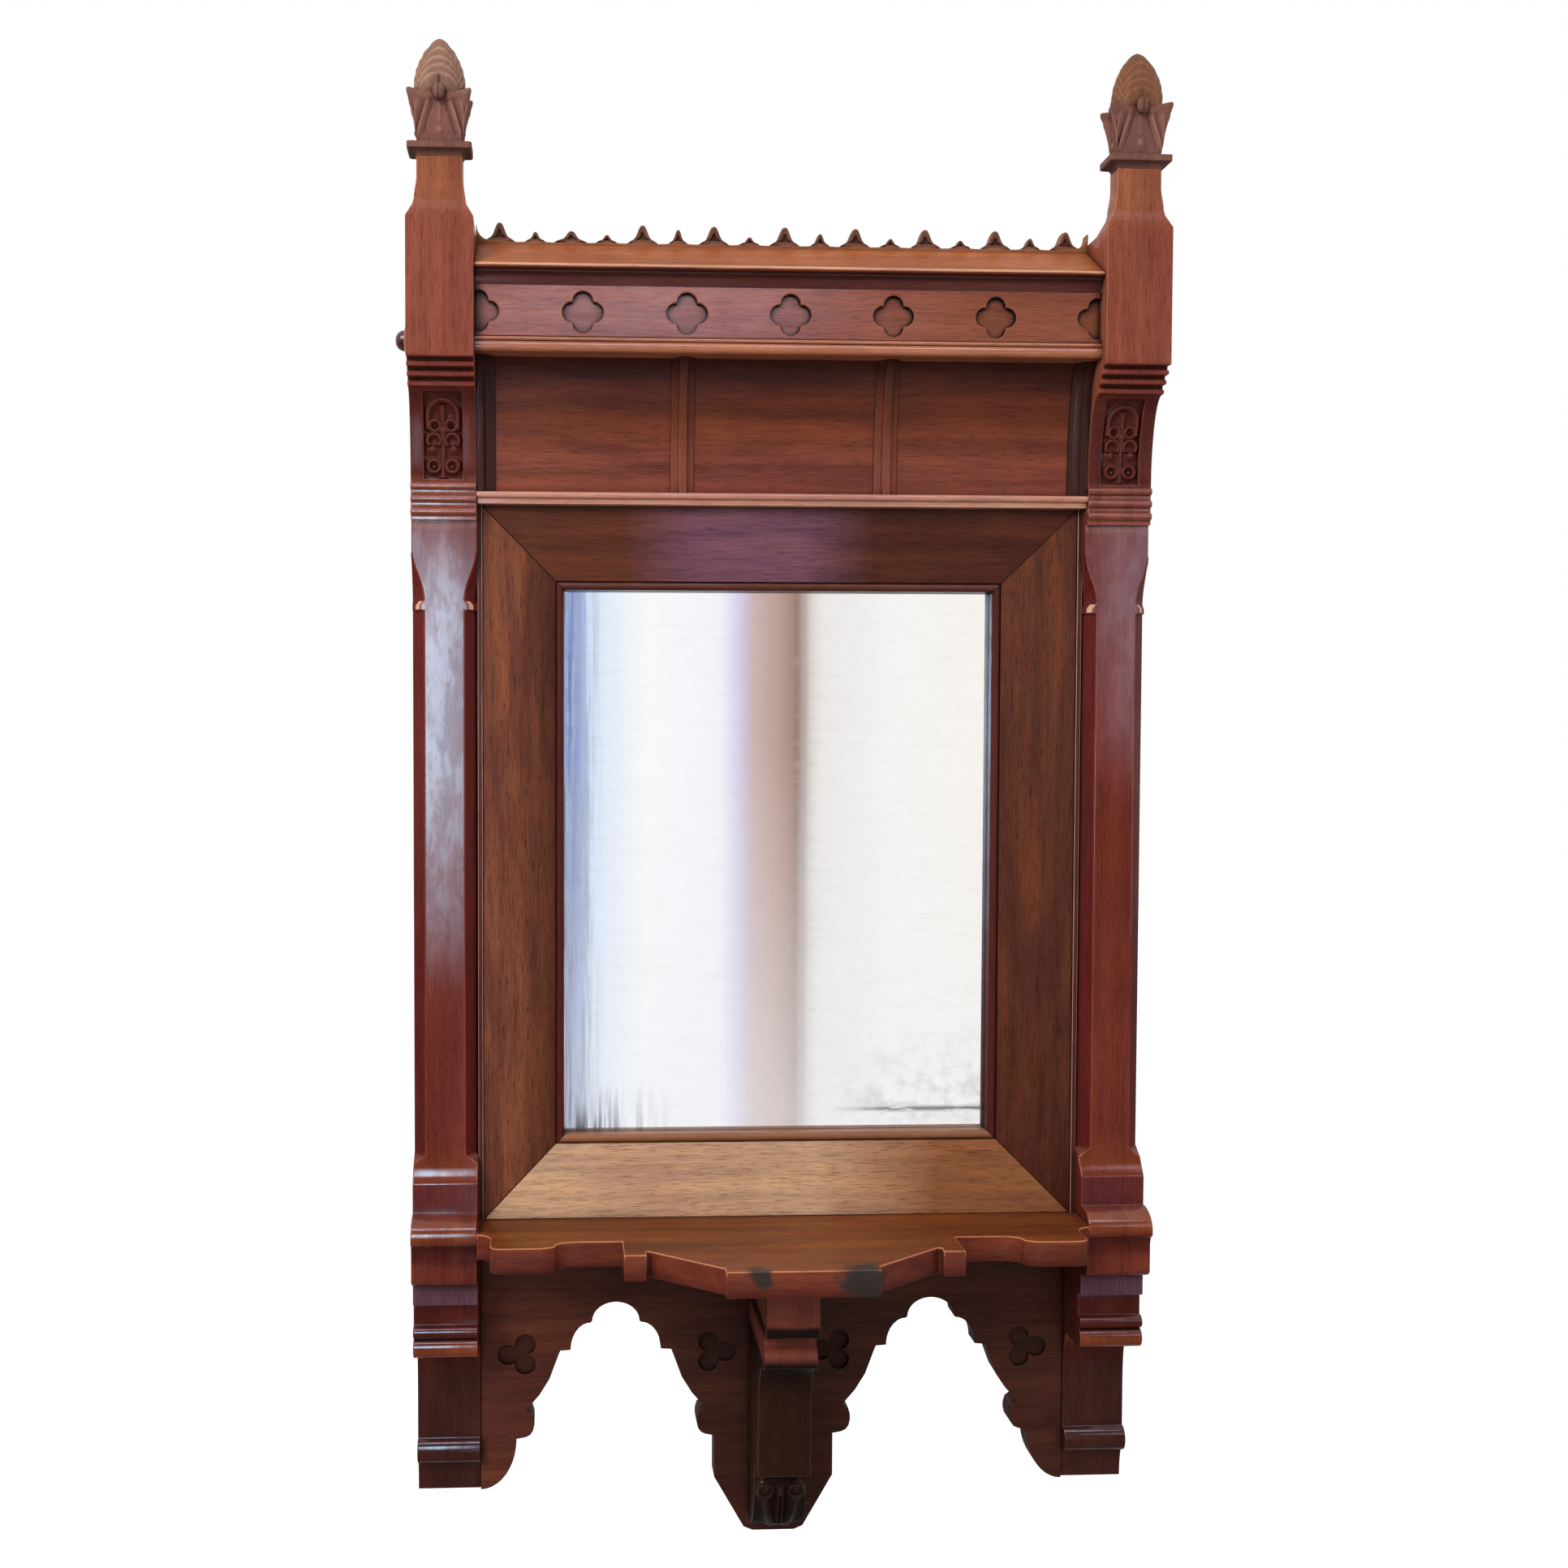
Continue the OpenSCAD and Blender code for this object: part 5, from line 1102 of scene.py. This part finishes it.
class GOTHIC_OT_cornice(bpy.types.Operator):
    """Cornice, bed moulding, frieze with quatrefoils, reeded rail, top board and side bosses"""
    bl_idname = "gothic.cornice"
    bl_label = "Cornice and frieze"

    def execute(self, context):
        c = context.scene.mirror_wood
        face_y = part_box("frieze")[0].y
        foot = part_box("cornice")[0].z
        # Up the cornice: painted shade at its foot under the nose, a painted highlight along the nose, then
        # the sunlit slope
        lit = [(foot, c.foot), (foot + 0.0022, c.foot), (foot + 0.0026, c.base), (foot + 0.0040, c.swell),
               (foot + 0.0048, c.arris), (foot + 0.0068, c.arris), (foot + 0.0075, c.cornice),
               (foot + 0.02, c.cornice)]
        sun = wood("cornice polish", lit, "X", 0.1, figure=0.5, coat=0.05, rough=0.5)
        nosing = wood("cornice nosing", lit, "X", 0.2, figure=0.3, worn=0.3, dirt_and_shade=0.5)
        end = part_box("frieze")[1].x
        across = [(-end, c.frieze_lilac), (-0.05, c.frieze_lilac), (0.15, c.frieze), (end, c.frieze)]
        # sunk paints shade into the quatrefoils
        board = wood("frieze polish", across, "X", 0.5, figure=0.5, coat=0.5, dirt_and_shade=1.8,
                     sunk=(face_y + 0.0006, face_y + 0.004, 0.15), level="X")
        rubbed_and_highlit = wood("frieze arris", [(0, c.frieze)], "X", 0.5, figure=0.3, worn=0.3, dirt_and_shade=1.0)
        reeds = wood("rail polish", [(0, c.rail)], "X", 0.7, figure=0.4, coat=1.0)
        dark = wood("bed moulding polish", [(0, c.base)], "X", 0.8, figure=0.3, coat=0.3)
        low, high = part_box("bed_mould")
        # Painted shade at the top of the bed moulding, under the cornice nose, and at its foot
        shaded = wood("bed moulding polish",
                      [(low.z, c.foot), ((low.z + high.z) / 2, c.base), (high.z, c.foot)], "X", 0.8,
                      figure=0.3, coat=0.3)
        edge = wood("cornice arris", [(0, c.arris)], "X", 0.2, figure=0.3, worn=0.4, dirt_and_shade=0.5, coat=0.5)
        turned = wood("boss polish", [(0, c.base)], "X", 0.6, figure=0.4, coat=1.0)
        for node, material, rim in (("cornice", sun, nosing), ("frieze", board, rubbed_and_highlit),
                                    ("frieze_rail", reeds, edge), ("top_board", dark, edge),
                                    ("bed_mould", shaded, shaded),
                                    ("side_boss_left", turned, edge), ("side_boss_right", turned, edge)):
            dress(node, material, rim, "mahogany")
        return {"FINISHED"}


class GOTHIC_OT_cove(bpy.types.Operator):
    """Cove panels, ribs and the bead over the mirror"""
    bl_idname = "gothic.cove"
    bl_label = "Cove"

    def execute(self, context):
        c = context.scene.mirror_wood
        low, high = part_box("cove_panel")
        rise = high.z - low.z
        stops = [(low.z, c.cove_foot), (low.z + 0.25 * rise, c.cove_foot), (low.z + 0.6 * rise, c.cove),
                 (low.z + 0.9 * rise, c.cove_head), (high.z, c.cove_head)]
        ends = wood("end rib polish", [(0, c.cove_end)], "Z", 0.6, figure=0.3)
        panel = wood("cove polish", stops, "X", 1.3, figure=0.6, rings=0.14, ribbon=0.6)
        ribs = wood("rib polish", stops, "Z", 0.2, figure=0.3)
        edge = wood("cove arris", stops, "Z", 0.2, figure=0.2, worn=0.6, dirt_and_shade=0.3)
        # The bead colour carries a painted highlight
        reeds = wood("bead polish", [(0, c.bead)], "X", 1.7, figure=0.4, coat=1.0)
        pale = wood("bead arris", [(0, c.arris)], "X", 0.2, figure=0.2, worn=0.2, dirt_and_shade=0.4)
        dress("cove_panel", panel, edge, "mahogany_dark")
        for name, material, rim in (("cove_rib_", ribs, edge), ("end_rib_", ends, ends)):
            for side in ("left", "right"):
                dress(name + side, material, rim, "mahogany_dark", wear().fine_arris)
        dress("cove_bead", reeds, pale, "mahogany")
        return {"FINISHED"}


class GOTHIC_OT_splay(bpy.types.Operator):
    """Splayed boards, edge strips and sight beads round the glass"""
    bl_idname = "gothic.splay"
    bl_label = "Mirror frame"

    def execute(self, context):
        c = context.scene.mirror_wood
        low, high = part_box("splay_bottom")
        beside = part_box("splay_left")
        stops = [(beside[0].x, c.splay_lit), (beside[0].x + 0.024, c.splay_lit), (beside[1].x, c.splay_shade)]
        left = wood("left splay polish", stops, "Z", 2.1, figure=0.7, ribbon=0.9, pores=0.9, level="X")
        right = wood("right splay polish", [(-0.25, c.splay_shade), (0.3, c.splay_side)], "Z", 4.1,
                     figure=0.7, ribbon=0.9, pores=0.9)
        glow = [(low.x, c.splay_side), (-0.13, c.splay_side), (-0.07, c.sheen), (0.02, c.sheen),
                (0.08, c.splay_top), (high.x, c.splay_top)]
        top = wood("top splay polish", glow, "X", 2.5, figure=0.6, ribbon=0.7, level="X")
        # The board under the glass: painted light to the left, painted shade to the right
        fading = [(low.x, c.splay_foot), (0.03, c.splay_foot), (0.14, c.splay_foot_shade),
                  (high.x, c.splay_foot_shade)]
        foot = wood("bottom splay polish", fading, "X", 2.9, figure=0.5, rough=0.55, coat=0.0, pores=0.7,
                    dirt_and_shade=0.6, level="X")
        edge = wood("splay arris", [(0, c.cove_end)], "Z", 2.1, figure=0.2)
        strip = wood("strip polish", [(0, c.splay_top)], "Z", 3.1, figure=0.4)
        # A painted highlight along the arris of the strips
        rubbed_and_highlit = wood("strip highlight", [(0, c.strip_highlight)], "Z", 3.1, figure=0.3, dirt_and_shade=0.4, coat=1.0)
        bead = wood("sight bead polish", [(0, c.base)], "Z", 3.3, figure=0.3)
        level_bead = wood("level sight bead polish", [(-0.25, c.splay_foot_shade), (0.24, c.sight)], "X", 3.6,
                          figure=0.3, coat=0.4)
        for node, material, rim, slot in (("splay_left", left, edge, "mahogany"),
                                          ("splay_right", right, edge, "mahogany"),
                                          ("splay_top", top, edge, "mahogany"),
                                          ("splay_bottom", foot, edge, "mahogany_faded"),
                                          ("edge_strip_left", strip, rubbed_and_highlit, "mahogany_dark"),
                                          ("edge_strip_right", strip, rubbed_and_highlit, "mahogany_dark"),
                                          ("sight_bead_left", bead, edge, "mahogany"),
                                          ("sight_bead_right", bead, edge, "mahogany"),
                                          ("sight_bead_top", level_bead, edge, "mahogany"),
                                          ("sight_bead_bottom", level_bead, edge, "mahogany")):
            dress(node, material, rim, slot, wear().fine_arris)
        return {"FINISHED"}


class GOTHIC_OT_shelf(bpy.types.Operator):
    """Shaped shelf with its knocks, pierced apron and centre bracket with its carved leaf"""
    bl_idname = "gothic.shelf"
    bl_label = "Shelf, apron and bracket"

    def execute(self, context):
        c = context.scene.mirror_wood
        low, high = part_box("shelf")
        stops = [(low.z, c.base), (low.z + 0.007, c.shelf_edge), (high.z - 0.002, c.shelf_edge),
                 (high.z - 0.0005, c.shelf)]
        # The shelf's upper arris, paler as wear and as a painted highlight
        rubbed_and_highlit = [(low.z, c.base), (high.z - 0.004, c.bracket_head), (high.z - 0.003, c.rail),
                  (high.z, c.rail)]
        knocks = [((-0.033, low.y, high.z - 0.003), 0.012), ((0.046, low.y, high.z - 0.009), 0.024)]
        board = wood("shelf polish", stops, "X", 4.1, figure=0.6, rings=0.1, ribbon=0.7, rough=0.4, coat=0.25,
                     knocks=knocks)
        edge = wood("shelf arris", rubbed_and_highlit, "X", 4.1, figure=0.2, worn=0.5, dirt_and_shade=0.2, coat=0.3, knocks=knocks)
        face_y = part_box("apron")[0].y
        # sunk paints shade into the trefoils
        pierced = wood("apron polish", [(-0.3, c.apron_lit), (-0.1, c.apron), (0.3, c.apron)], "X", 4.7,
                       figure=0.6, ribbon=0.6, sunk=(face_y + 0.0006, face_y + 0.004, 0.45), level="X")
        pierced_edge = wood("apron arris", [(0, c.apron)], "X", 4.7, figure=0.2, worn=0.25, dirt_and_shade=0.5)
        foot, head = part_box("centre_bracket")
        dark, lit, top = c.bracket, c.bracket_head, head.z
        shade = tuple(v * 0.55 for v in dark)
        stops = [(foot.z, shade), (foot.z + 0.05, dark), (top - 0.12, dark), (top - 0.078, shade),
                 (top - 0.0705, lit), (top - 0.058, lit), (top - 0.053, shade), (top - 0.045, shade),
                 (top - 0.042, lit), (top, lit)]
        block = wood("bracket polish", stops, "Z", 5.3, figure=0.5, coat=0.15)
        carved = wood("leaf carving", stops, "Z", 6.1, figure=0.3, relief=0.4, coat=0.0)
        dress("shelf", board, edge, "mahogany")
        dress("apron", pierced, pierced_edge, "mahogany_dark", wear().fine_arris)
        dress("centre_bracket", block, pierced_edge, "mahogany_dark")
        piece_from("bracket_leaf", self.leaf(foot, head), "mahogany_dark", [], [carved])
        return {"FINISHED"}

    def leaf(self, low, high):
        """The carved leaf at the foot of the bracket: two volutes over three tongues."""
        s = bpy.context.scene.mirror_carving
        half = (high.x - low.x) / 2 - 0.0004
        foot, tall = low.z + 0.0006, s.leaf_height
        top = tall / half
        face = front_of("centre_bracket", 0)

        def stands(w, h):
            side = 0.62 - 0.34 * (1 - h / (top - 0.6)) if h < top - 0.6 else 0.62
            parts = [ring_ridge(w, h, 0.60, top - 0.42, 0.27, 0.13),
                     bell(math.hypot(w - 0.60, h - top + 0.42), 0.14),
                     bell(w, 0.20) * min(1, max(0, (top - 0.25 - h) * 3)) * 0.9,
                     bell(w - side, 0.17) * (0.85 if h < top - 0.75 else 0),
                     bell(math.hypot(w * 0.8, h - 0.28), 0.3) * 0.9]
            groove = bell(w, 0.045) * 0.5 if h < top - 0.6 else 0
            edge = min(1.0, (1 - w) / 0.1, (top - h) / 0.12)
            return max(0.0, max(parts) - groove) * max(edge, 0.0)

        def front(u, v):
            x, z = (2 * u - 1) * half, foot + v * tall
            lift = stands(abs(x) / half, v * tall / half)
            return (x, face(z) - 0.0002 - lift * s.leaf, z), min(lift, 1.0)

        def back(u, v):
            z = foot + v * tall
            return ((2 * u - 1) * half, face(z) + 0.004, z), 0.0

        return grid_solid("bracket_leaf", 100, 110, front, back)


class GOTHIC_OT_glass(bpy.types.Operator):
    """Old silvered mirror glass"""
    bl_idname = "gothic.glass"
    bl_label = "Mirror glass"

    def execute(self, context):
        _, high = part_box("mirror_glass")
        mirror = silvering("old silvering", high.x, high.z)
        rim = plain("glass edge", tone(120, 140, 128), 0.2)
        paint = plain("backing paint", tone(74, 66, 60), 0.7)
        bm = merged_copy("mirror_glass")
        for face in bm.faces:
            y = face.normal.y
            face.material_index = 0 if y < -0.5 else 2 if y > 0.5 else 1
        mesh = mesh_of(bm, "mirror_glass_silvered")
        piece_from("mirror_glass_silvered", mesh, "mirror", ["mirror_glass"], [mirror, rim, paint])
        return {"FINISHED"}


class GOTHIC_OT_back(bpy.types.Operator):
    """Boards, blocks and dowels of the back"""
    bl_idname = "gothic.back"
    bl_label = "Back"

    def execute(self, context):
        c = context.scene.mirror_wood
        upright = raw_wood("pine upright", c.pine, "Z", 0.3)
        level = raw_wood("pine level", c.pine, "X", 0.8)
        dowel = raw_wood("beech", c.beech, "X", 1.1)
        for node, material in (("back_stile_left", upright), ("back_stile_right", upright),
                               ("back_rail_top", level), ("back_rail_bottom", level),
                               ("upper_back", level), ("hanging_rail", level)):
            dress(node, material, material, "pine")
        for node, material in (("corner_blocks", level), ("glazing_blocks", upright),
                               ("frame_dowels", dowel), ("finial_dowels", dowel), ("backing_board", upright)):
            finish_node(node, material)
        return {"FINISHED"}


class GOTHIC_OT_fixings(bpy.types.Operator):
    """Hanging plates, screws and brads"""
    bl_idname = "gothic.fixings"
    bl_label = "Fixings"

    def execute(self, context):
        brass = metal("old brass", tone(190, 150, 72), 0.36, 0.6)
        steel = metal("old steel", tone(120, 112, 104), 0.5, 0.85)
        for node in ("hanging_plate_left", "hanging_plate_right"):
            mesh = soften(merged_copy(node), node + "_brass", wear().fine_arris)
            piece_from(node + "_brass", mesh, "brass", [node], [brass, brass])
        for node, material, slot in (("plate_screws", brass, "brass"), ("frame_screws", steel, "steel"),
                                     ("backing_brads", steel, "steel")):
            mesh = self.heads(node, material)
            piece_from(node + "_heads", mesh, slot, [node], [material])
        finish_node("bracket_screws", steel)
        return {"FINISHED"}

    def islands(self, bm):
        """The lowest and the highest corner of each separate body."""
        left = set(bm.verts)
        while left:
            island, edge = set(), [left.pop()]
            while edge:
                vert = edge.pop()
                island.add(vert)
                for link in vert.link_edges:
                    other = link.other_vert(vert)
                    if other in left:
                        left.discard(other)
                        edge.append(other)
            spots = [v.co for v in island]
            yield [Vector((pick(p[k] for p in spots) for k in range(3))) for pick in (min, max)]

    def heads(self, node, material):
        """Heads on their shanks, by Geometry Nodes, where the plain ones are. Screws have a slot."""
        bm = merged_copy(node)
        found = sorted((tuple(low), tuple(high)) for low, high in self.islands(bm))
        bm.free()
        spots = sorted((((low[0] + high[0]) / 2, high[1], (low[2] + high[2]) / 2), 1.0)
                       for low, high in found)
        low, high = found[0]
        head, long = (high[0] - low[0]) / 2, high[1] - low[1]
        shank = head * 0.5
        around = 28
        outline = [(head * 0.86, 0), (head * 0.97, -head * 0.05), (head, -head * 0.12),
                   (shank, -head * 0.6), (shank * 0.8, -long + shank)]
        turns = [2 * math.pi * i / around for i in range(around)]
        bm = bmesh.new()
        rings = [[bm.verts.new((r * math.cos(a), y, r * math.sin(a))) for a in turns] for r, y in outline]
        tip = bm.verts.new((0, -long, 0))
        join_rings(bm, rings)
        for i in range(around):
            bm.faces.new([rings[-1][i], rings[-1][(i + 1) % around], tip])
        face = bm.faces.new(rings[0][::-1])
        if node != "backing_brads":
            self.cut_slot(bm, face, rings[0], head * 0.22)
        return row_of(node + "_heads", mesh_of(bm, node + "_one", 35), spots, material, (0.0, 1.5, 0.0))

    def cut_slot(self, bm, face, ring, deep):
        """A slot across a head."""
        half = len(ring) // 2
        first, second = (ring[-1], ring[1]), (ring[half - 1], ring[half + 1])
        cut = bmesh.utils.face_split(face, first[1], second[0])[0]
        for part in (face, cut):
            if first[0] in part.verts and second[1] in part.verts:
                bmesh.utils.face_split(part, first[0], second[1])
        middle = [f for f in bm.faces if all(corner in f.verts for corner in first + second)]
        if middle:
            bmesh.ops.inset_region(bm, faces=middle, thickness=0.00005, depth=-deep)


class GOTHIC_OT_stage(bpy.types.Operator):
    """Floor, lamps, window seen in the glass, and camera"""
    bl_idname = "gothic.stage"
    bl_label = "Stage"

    def execute(self, context):
        s = context.scene.mirror_studio
        self.world(s)
        self.floor(s)
        self.lamps(s)
        self.window()
        self.camera(s)
        context.scene.view_settings.view_transform = "Standard"
        return {"FINISHED"}

    def world(self, s):
        """White behind the mirror and in its glass, a plain soft light for all else."""
        world = bpy.data.worlds.new("studio")
        bpy.context.scene.world = world
        n = Nodes(world)
        path = n.add("LightPath").outputs
        seen = n.larger(path["Is Camera Ray"], n.larger(path["Is Glossy Ray"], path["Is Transmission Ray"]))
        level = n.between(n.split(n.add("TexCoord").outputs["Generated"])["Z"], -0.7, 0.9, 0.3, 1.5)
        soft = n.add("Background", {"Color": (0.98, 0.98, 1.0, 1), "Strength": n.times(level, s.sky)})
        white = n.add("Background", {"Color": (1, 1, 1, 1), "Strength": 1.0})
        n.finish(n.blend(seen, soft, white), "World")

    def sheet(self, name, matrix):
        """A square of 1 m, moved and sized by a matrix."""
        bm = bmesh.new()
        bmesh.ops.create_grid(bm, x_segments=1, y_segments=1, size=0.5)
        bm.transform(matrix)
        return placed(name, mesh_of(bm, name))

    def floor(self, s):
        floor = self.sheet("floor", Matrix.Translation((0, 0, s.floor)) @ Matrix.Diagonal((18, 18, 1, 1)))
        n = Nodes(bpy.data.materials.new("pale floor"))
        clouds = n.rise(n.noise(n.spot(), 0.3, 4, 0.5), 0.4, 0.6, 0.15)
        dust_and_sheen = n.mix(clouds, (0.52, 0.52, 0.52, 1), (0.48, 0.475, 0.47, 1))
        matt = n.add("BsdfDiffuse", {"Color": dust_and_sheen})
        seen = n.add("LightPath").outputs["Is Camera Ray"]
        glow = n.add("Emission", {"Color": (1, 1, 1, 1), "Strength": n.times(seen, 0.80)})
        both = n.add("AddShader", {0: matt.outputs[0], 1: glow.outputs[0]})
        floor.data.materials.append(n.finish(both))

    def lamps(self, s):
        for name, spot, aim, size, power in (
                ("window lamp", (-1.45, -1.95, 1.45), (0, 0, 0.05), 1.4, s.key),
                ("room lamp", (1.9, -1.9, 0.6), (0, 0, 0.0), 1.6, s.fill)):
            data = bpy.data.lights.new(name, "AREA")
            data.shape = "DISK"
            data.size = size
            data.energy = power
            lamp = placed(name, data)
            lamp.location = spot
            lamp.rotation_euler = (Vector(aim) - Vector(spot)).to_track_quat("-Z", "Y").to_euler()

    # What the glass shows from left to right: (place, colour)
    seen_across = [(-0.40, (150, 158, 200)), (-0.186, (176, 180, 222)), (-0.172, (166, 182, 228)),
                   (-0.165, (84, 112, 172)), (-0.151, (104, 128, 190)), (-0.146, (140, 158, 214)),
                   (-0.131, (146, 162, 216)), (-0.124, (208, 230, 252)), (-0.09, (228, 238, 255)),
                   (0.02, (255, 255, 255)), (0.20, (250, 250, 255)), (0.250, (216, 208, 236)),
                   (0.275, (210, 186, 184)), (0.34, (194, 162, 150)), (0.378, (172, 138, 124)),
                   (0.388, (112, 82, 72)), (0.396, (206, 190, 182)), (0.404, (150, 128, 118)),
                   (0.412, (222, 214, 208)), (0.44, (242, 238, 236)), (0.62, (252, 250, 248)),
                   (0.84, (254, 249, 242)), (0.95, (252, 240, 222))]

    def pane(self, name, box, far, colour_of, strength_of, lying=False):
        """A pane that only polish and glass can see: upright at the depth far, or lying at the level far."""
        x0, x1, z0, z1 = box
        turn = Matrix.Identity(4) if lying else Matrix.Rotation(math.pi / 2, 4, "X")
        middle = ((x0 + x1) / 2, -(z0 + z1) / 2, far) if lying else ((x0 + x1) / 2, far, (z0 + z1) / 2)
        pane = self.sheet(name, Matrix.Translation(middle) @ turn @ Matrix.Diagonal((x1 - x0, z1 - z0, 1, 1)))
        n = Nodes(bpy.data.materials.new(name))
        parts = n.split(n.spot())
        glow = n.add("Emission", {"Color": colour_of(n, parts), "Strength": strength_of(n, parts)})
        glossy = n.add("LightPath").outputs["Is Glossy Ray"]
        pane.data.materials.append(n.finish(n.blend(glossy, n.add("BsdfTransparent"), glow)))
        pane.visible_diffuse = False
        pane.visible_shadow = False
        pane.visible_camera = False

    def window(self):
        """The dim room, what the glass shows of it, and the window that shines on the left pillar."""
        def across(n, parts):
            seen = n.colours(parts["X"], [(x, tone(*paint)) for x, paint in self.seen_across])
            low = n.between(parts["Z"], 0.1, -0.8, 0.0, 0.8)
            return n.mix(low, seen, n.mix(0.6, seen, (0.92, 0.92, 0.95, 1)))

        def fading(n, parts):
            rise, fall = n.between(parts["Z"], -0.47, 0.06), n.between(parts["Z"], 0.64, 0.42)
            return n.times(n.times(rise, fall), 20.0)

        def always(value):
            return lambda n, parts: value

        dim, lilac = always((0.10, 0.085, 0.075, 1)), always((0.70, 0.74, 1.0, 1))
        room = (-3.2, 3.2)
        self.pane("dim wall", (*room, -1.14, 2.4), -2.6, dim, always(1.0))
        self.pane("dim floor", (*room, 0.05, 2.6), -1.14, dim, always(1.0), lying=True)
        self.pane("seen in the glass", (-0.40, 0.95, -1.1, 1.0), -2.2, across, always(1.0))
        self.pane("bright window", (-0.62, -0.38, -0.75, 0.75), -2.21, always((0.53, 0.78, 1.0, 1)), fading)
        self.pane("high window", (-1.6, 1.6, 2.0, 3.2), -2.22, lilac, always(9.0))
        self.pane("side window", (1.04, 1.40, -0.3, 0.65), -2.23, lilac,
                  self.spread((1.22, 0.45), (0.18, 0.5), 4.0))
        self.pane("soft window", (-0.5, 0.6, 0.93, 1.35), -2.24, lilac,
                  self.spread((0.05, 1.12), (0.5, 0.22), 5.0))

    def spread(self, middle, reach, most):
        """Light that is strongest in the middle of a pane and fades to nothing at its reach."""
        def strength(n, parts):
            across, up = (n.math("DIVIDE", n.minus(parts[side], at), far)
                          for side, at, far in zip("XZ", middle, reach))
            away = n.plus(n.times(across, across), n.times(up, up))
            return n.times(n.minus(1.0, away, clamp=True), most)
        return strength

    def camera(self, s):
        ahead = Vector((math.sin(s.yaw) * math.cos(s.pitch), math.cos(s.yaw) * math.cos(s.pitch),
                        math.sin(s.pitch)))
        right = Vector((math.cos(s.yaw), -math.sin(s.yaw), 0))
        up = right.cross(ahead)
        across = right * math.cos(s.roll) + up * math.sin(s.roll)
        upward = up * math.cos(s.roll) - right * math.sin(s.roll)
        data = bpy.data.cameras.new("camera")
        data.sensor_width = 36
        data.lens = s.lens
        data.shift_x = s.shift
        data.clip_start = 0.05
        camera = placed("camera", data)
        turned = Matrix((across, upward, -ahead)).transposed()
        camera.matrix_world = Matrix.Translation(s.eye) @ turned.to_4x4()
        bpy.context.scene.camera = camera


class GOTHIC_PT_panel(bpy.types.Panel):
    """Lists the parts of the mirror"""
    bl_idname = "GOTHIC_PT_panel"
    bl_label = "Gothic mirror"
    bl_space_type = "VIEW_3D"
    bl_region_type = "UI"
    bl_category = "Gothic mirror"

    def draw(self, context):
        for kind in OPERATORS:
            self.layout.operator(kind.bl_idname)


OPERATORS = (GOTHIC_OT_pillars, GOTHIC_OT_finials, GOTHIC_OT_crest, GOTHIC_OT_cornice, GOTHIC_OT_cove,
             GOTHIC_OT_splay, GOTHIC_OT_shelf, GOTHIC_OT_glass, GOTHIC_OT_back, GOTHIC_OT_fixings,
             GOTHIC_OT_stage)
GROUPS = {"mirror_wood": WoodColours, "mirror_wear": WearSizes, "mirror_finial": FinialSizes,
          "mirror_carving": CarvingSizes, "mirror_studio": StudioSizes}


def register():
    for kind in (*GROUPS.values(), *OPERATORS, GOTHIC_PT_panel):
        bpy.utils.register_class(kind)
    for name, kind in GROUPS.items():
        setattr(bpy.types.Scene, name, bpy.props.PointerProperty(type=kind))


def unregister():
    for name in GROUPS:
        delattr(bpy.types.Scene, name)
    for kind in reversed((*GROUPS.values(), *OPERATORS, GOTHIC_PT_panel)):
        bpy.utils.unregister_class(kind)


def main():
    register()
    for kind in OPERATORS:
        group, name = kind.bl_idname.split(".")
        getattr(getattr(bpy.ops, group), name)()


if __name__ == "__main__":
    main()
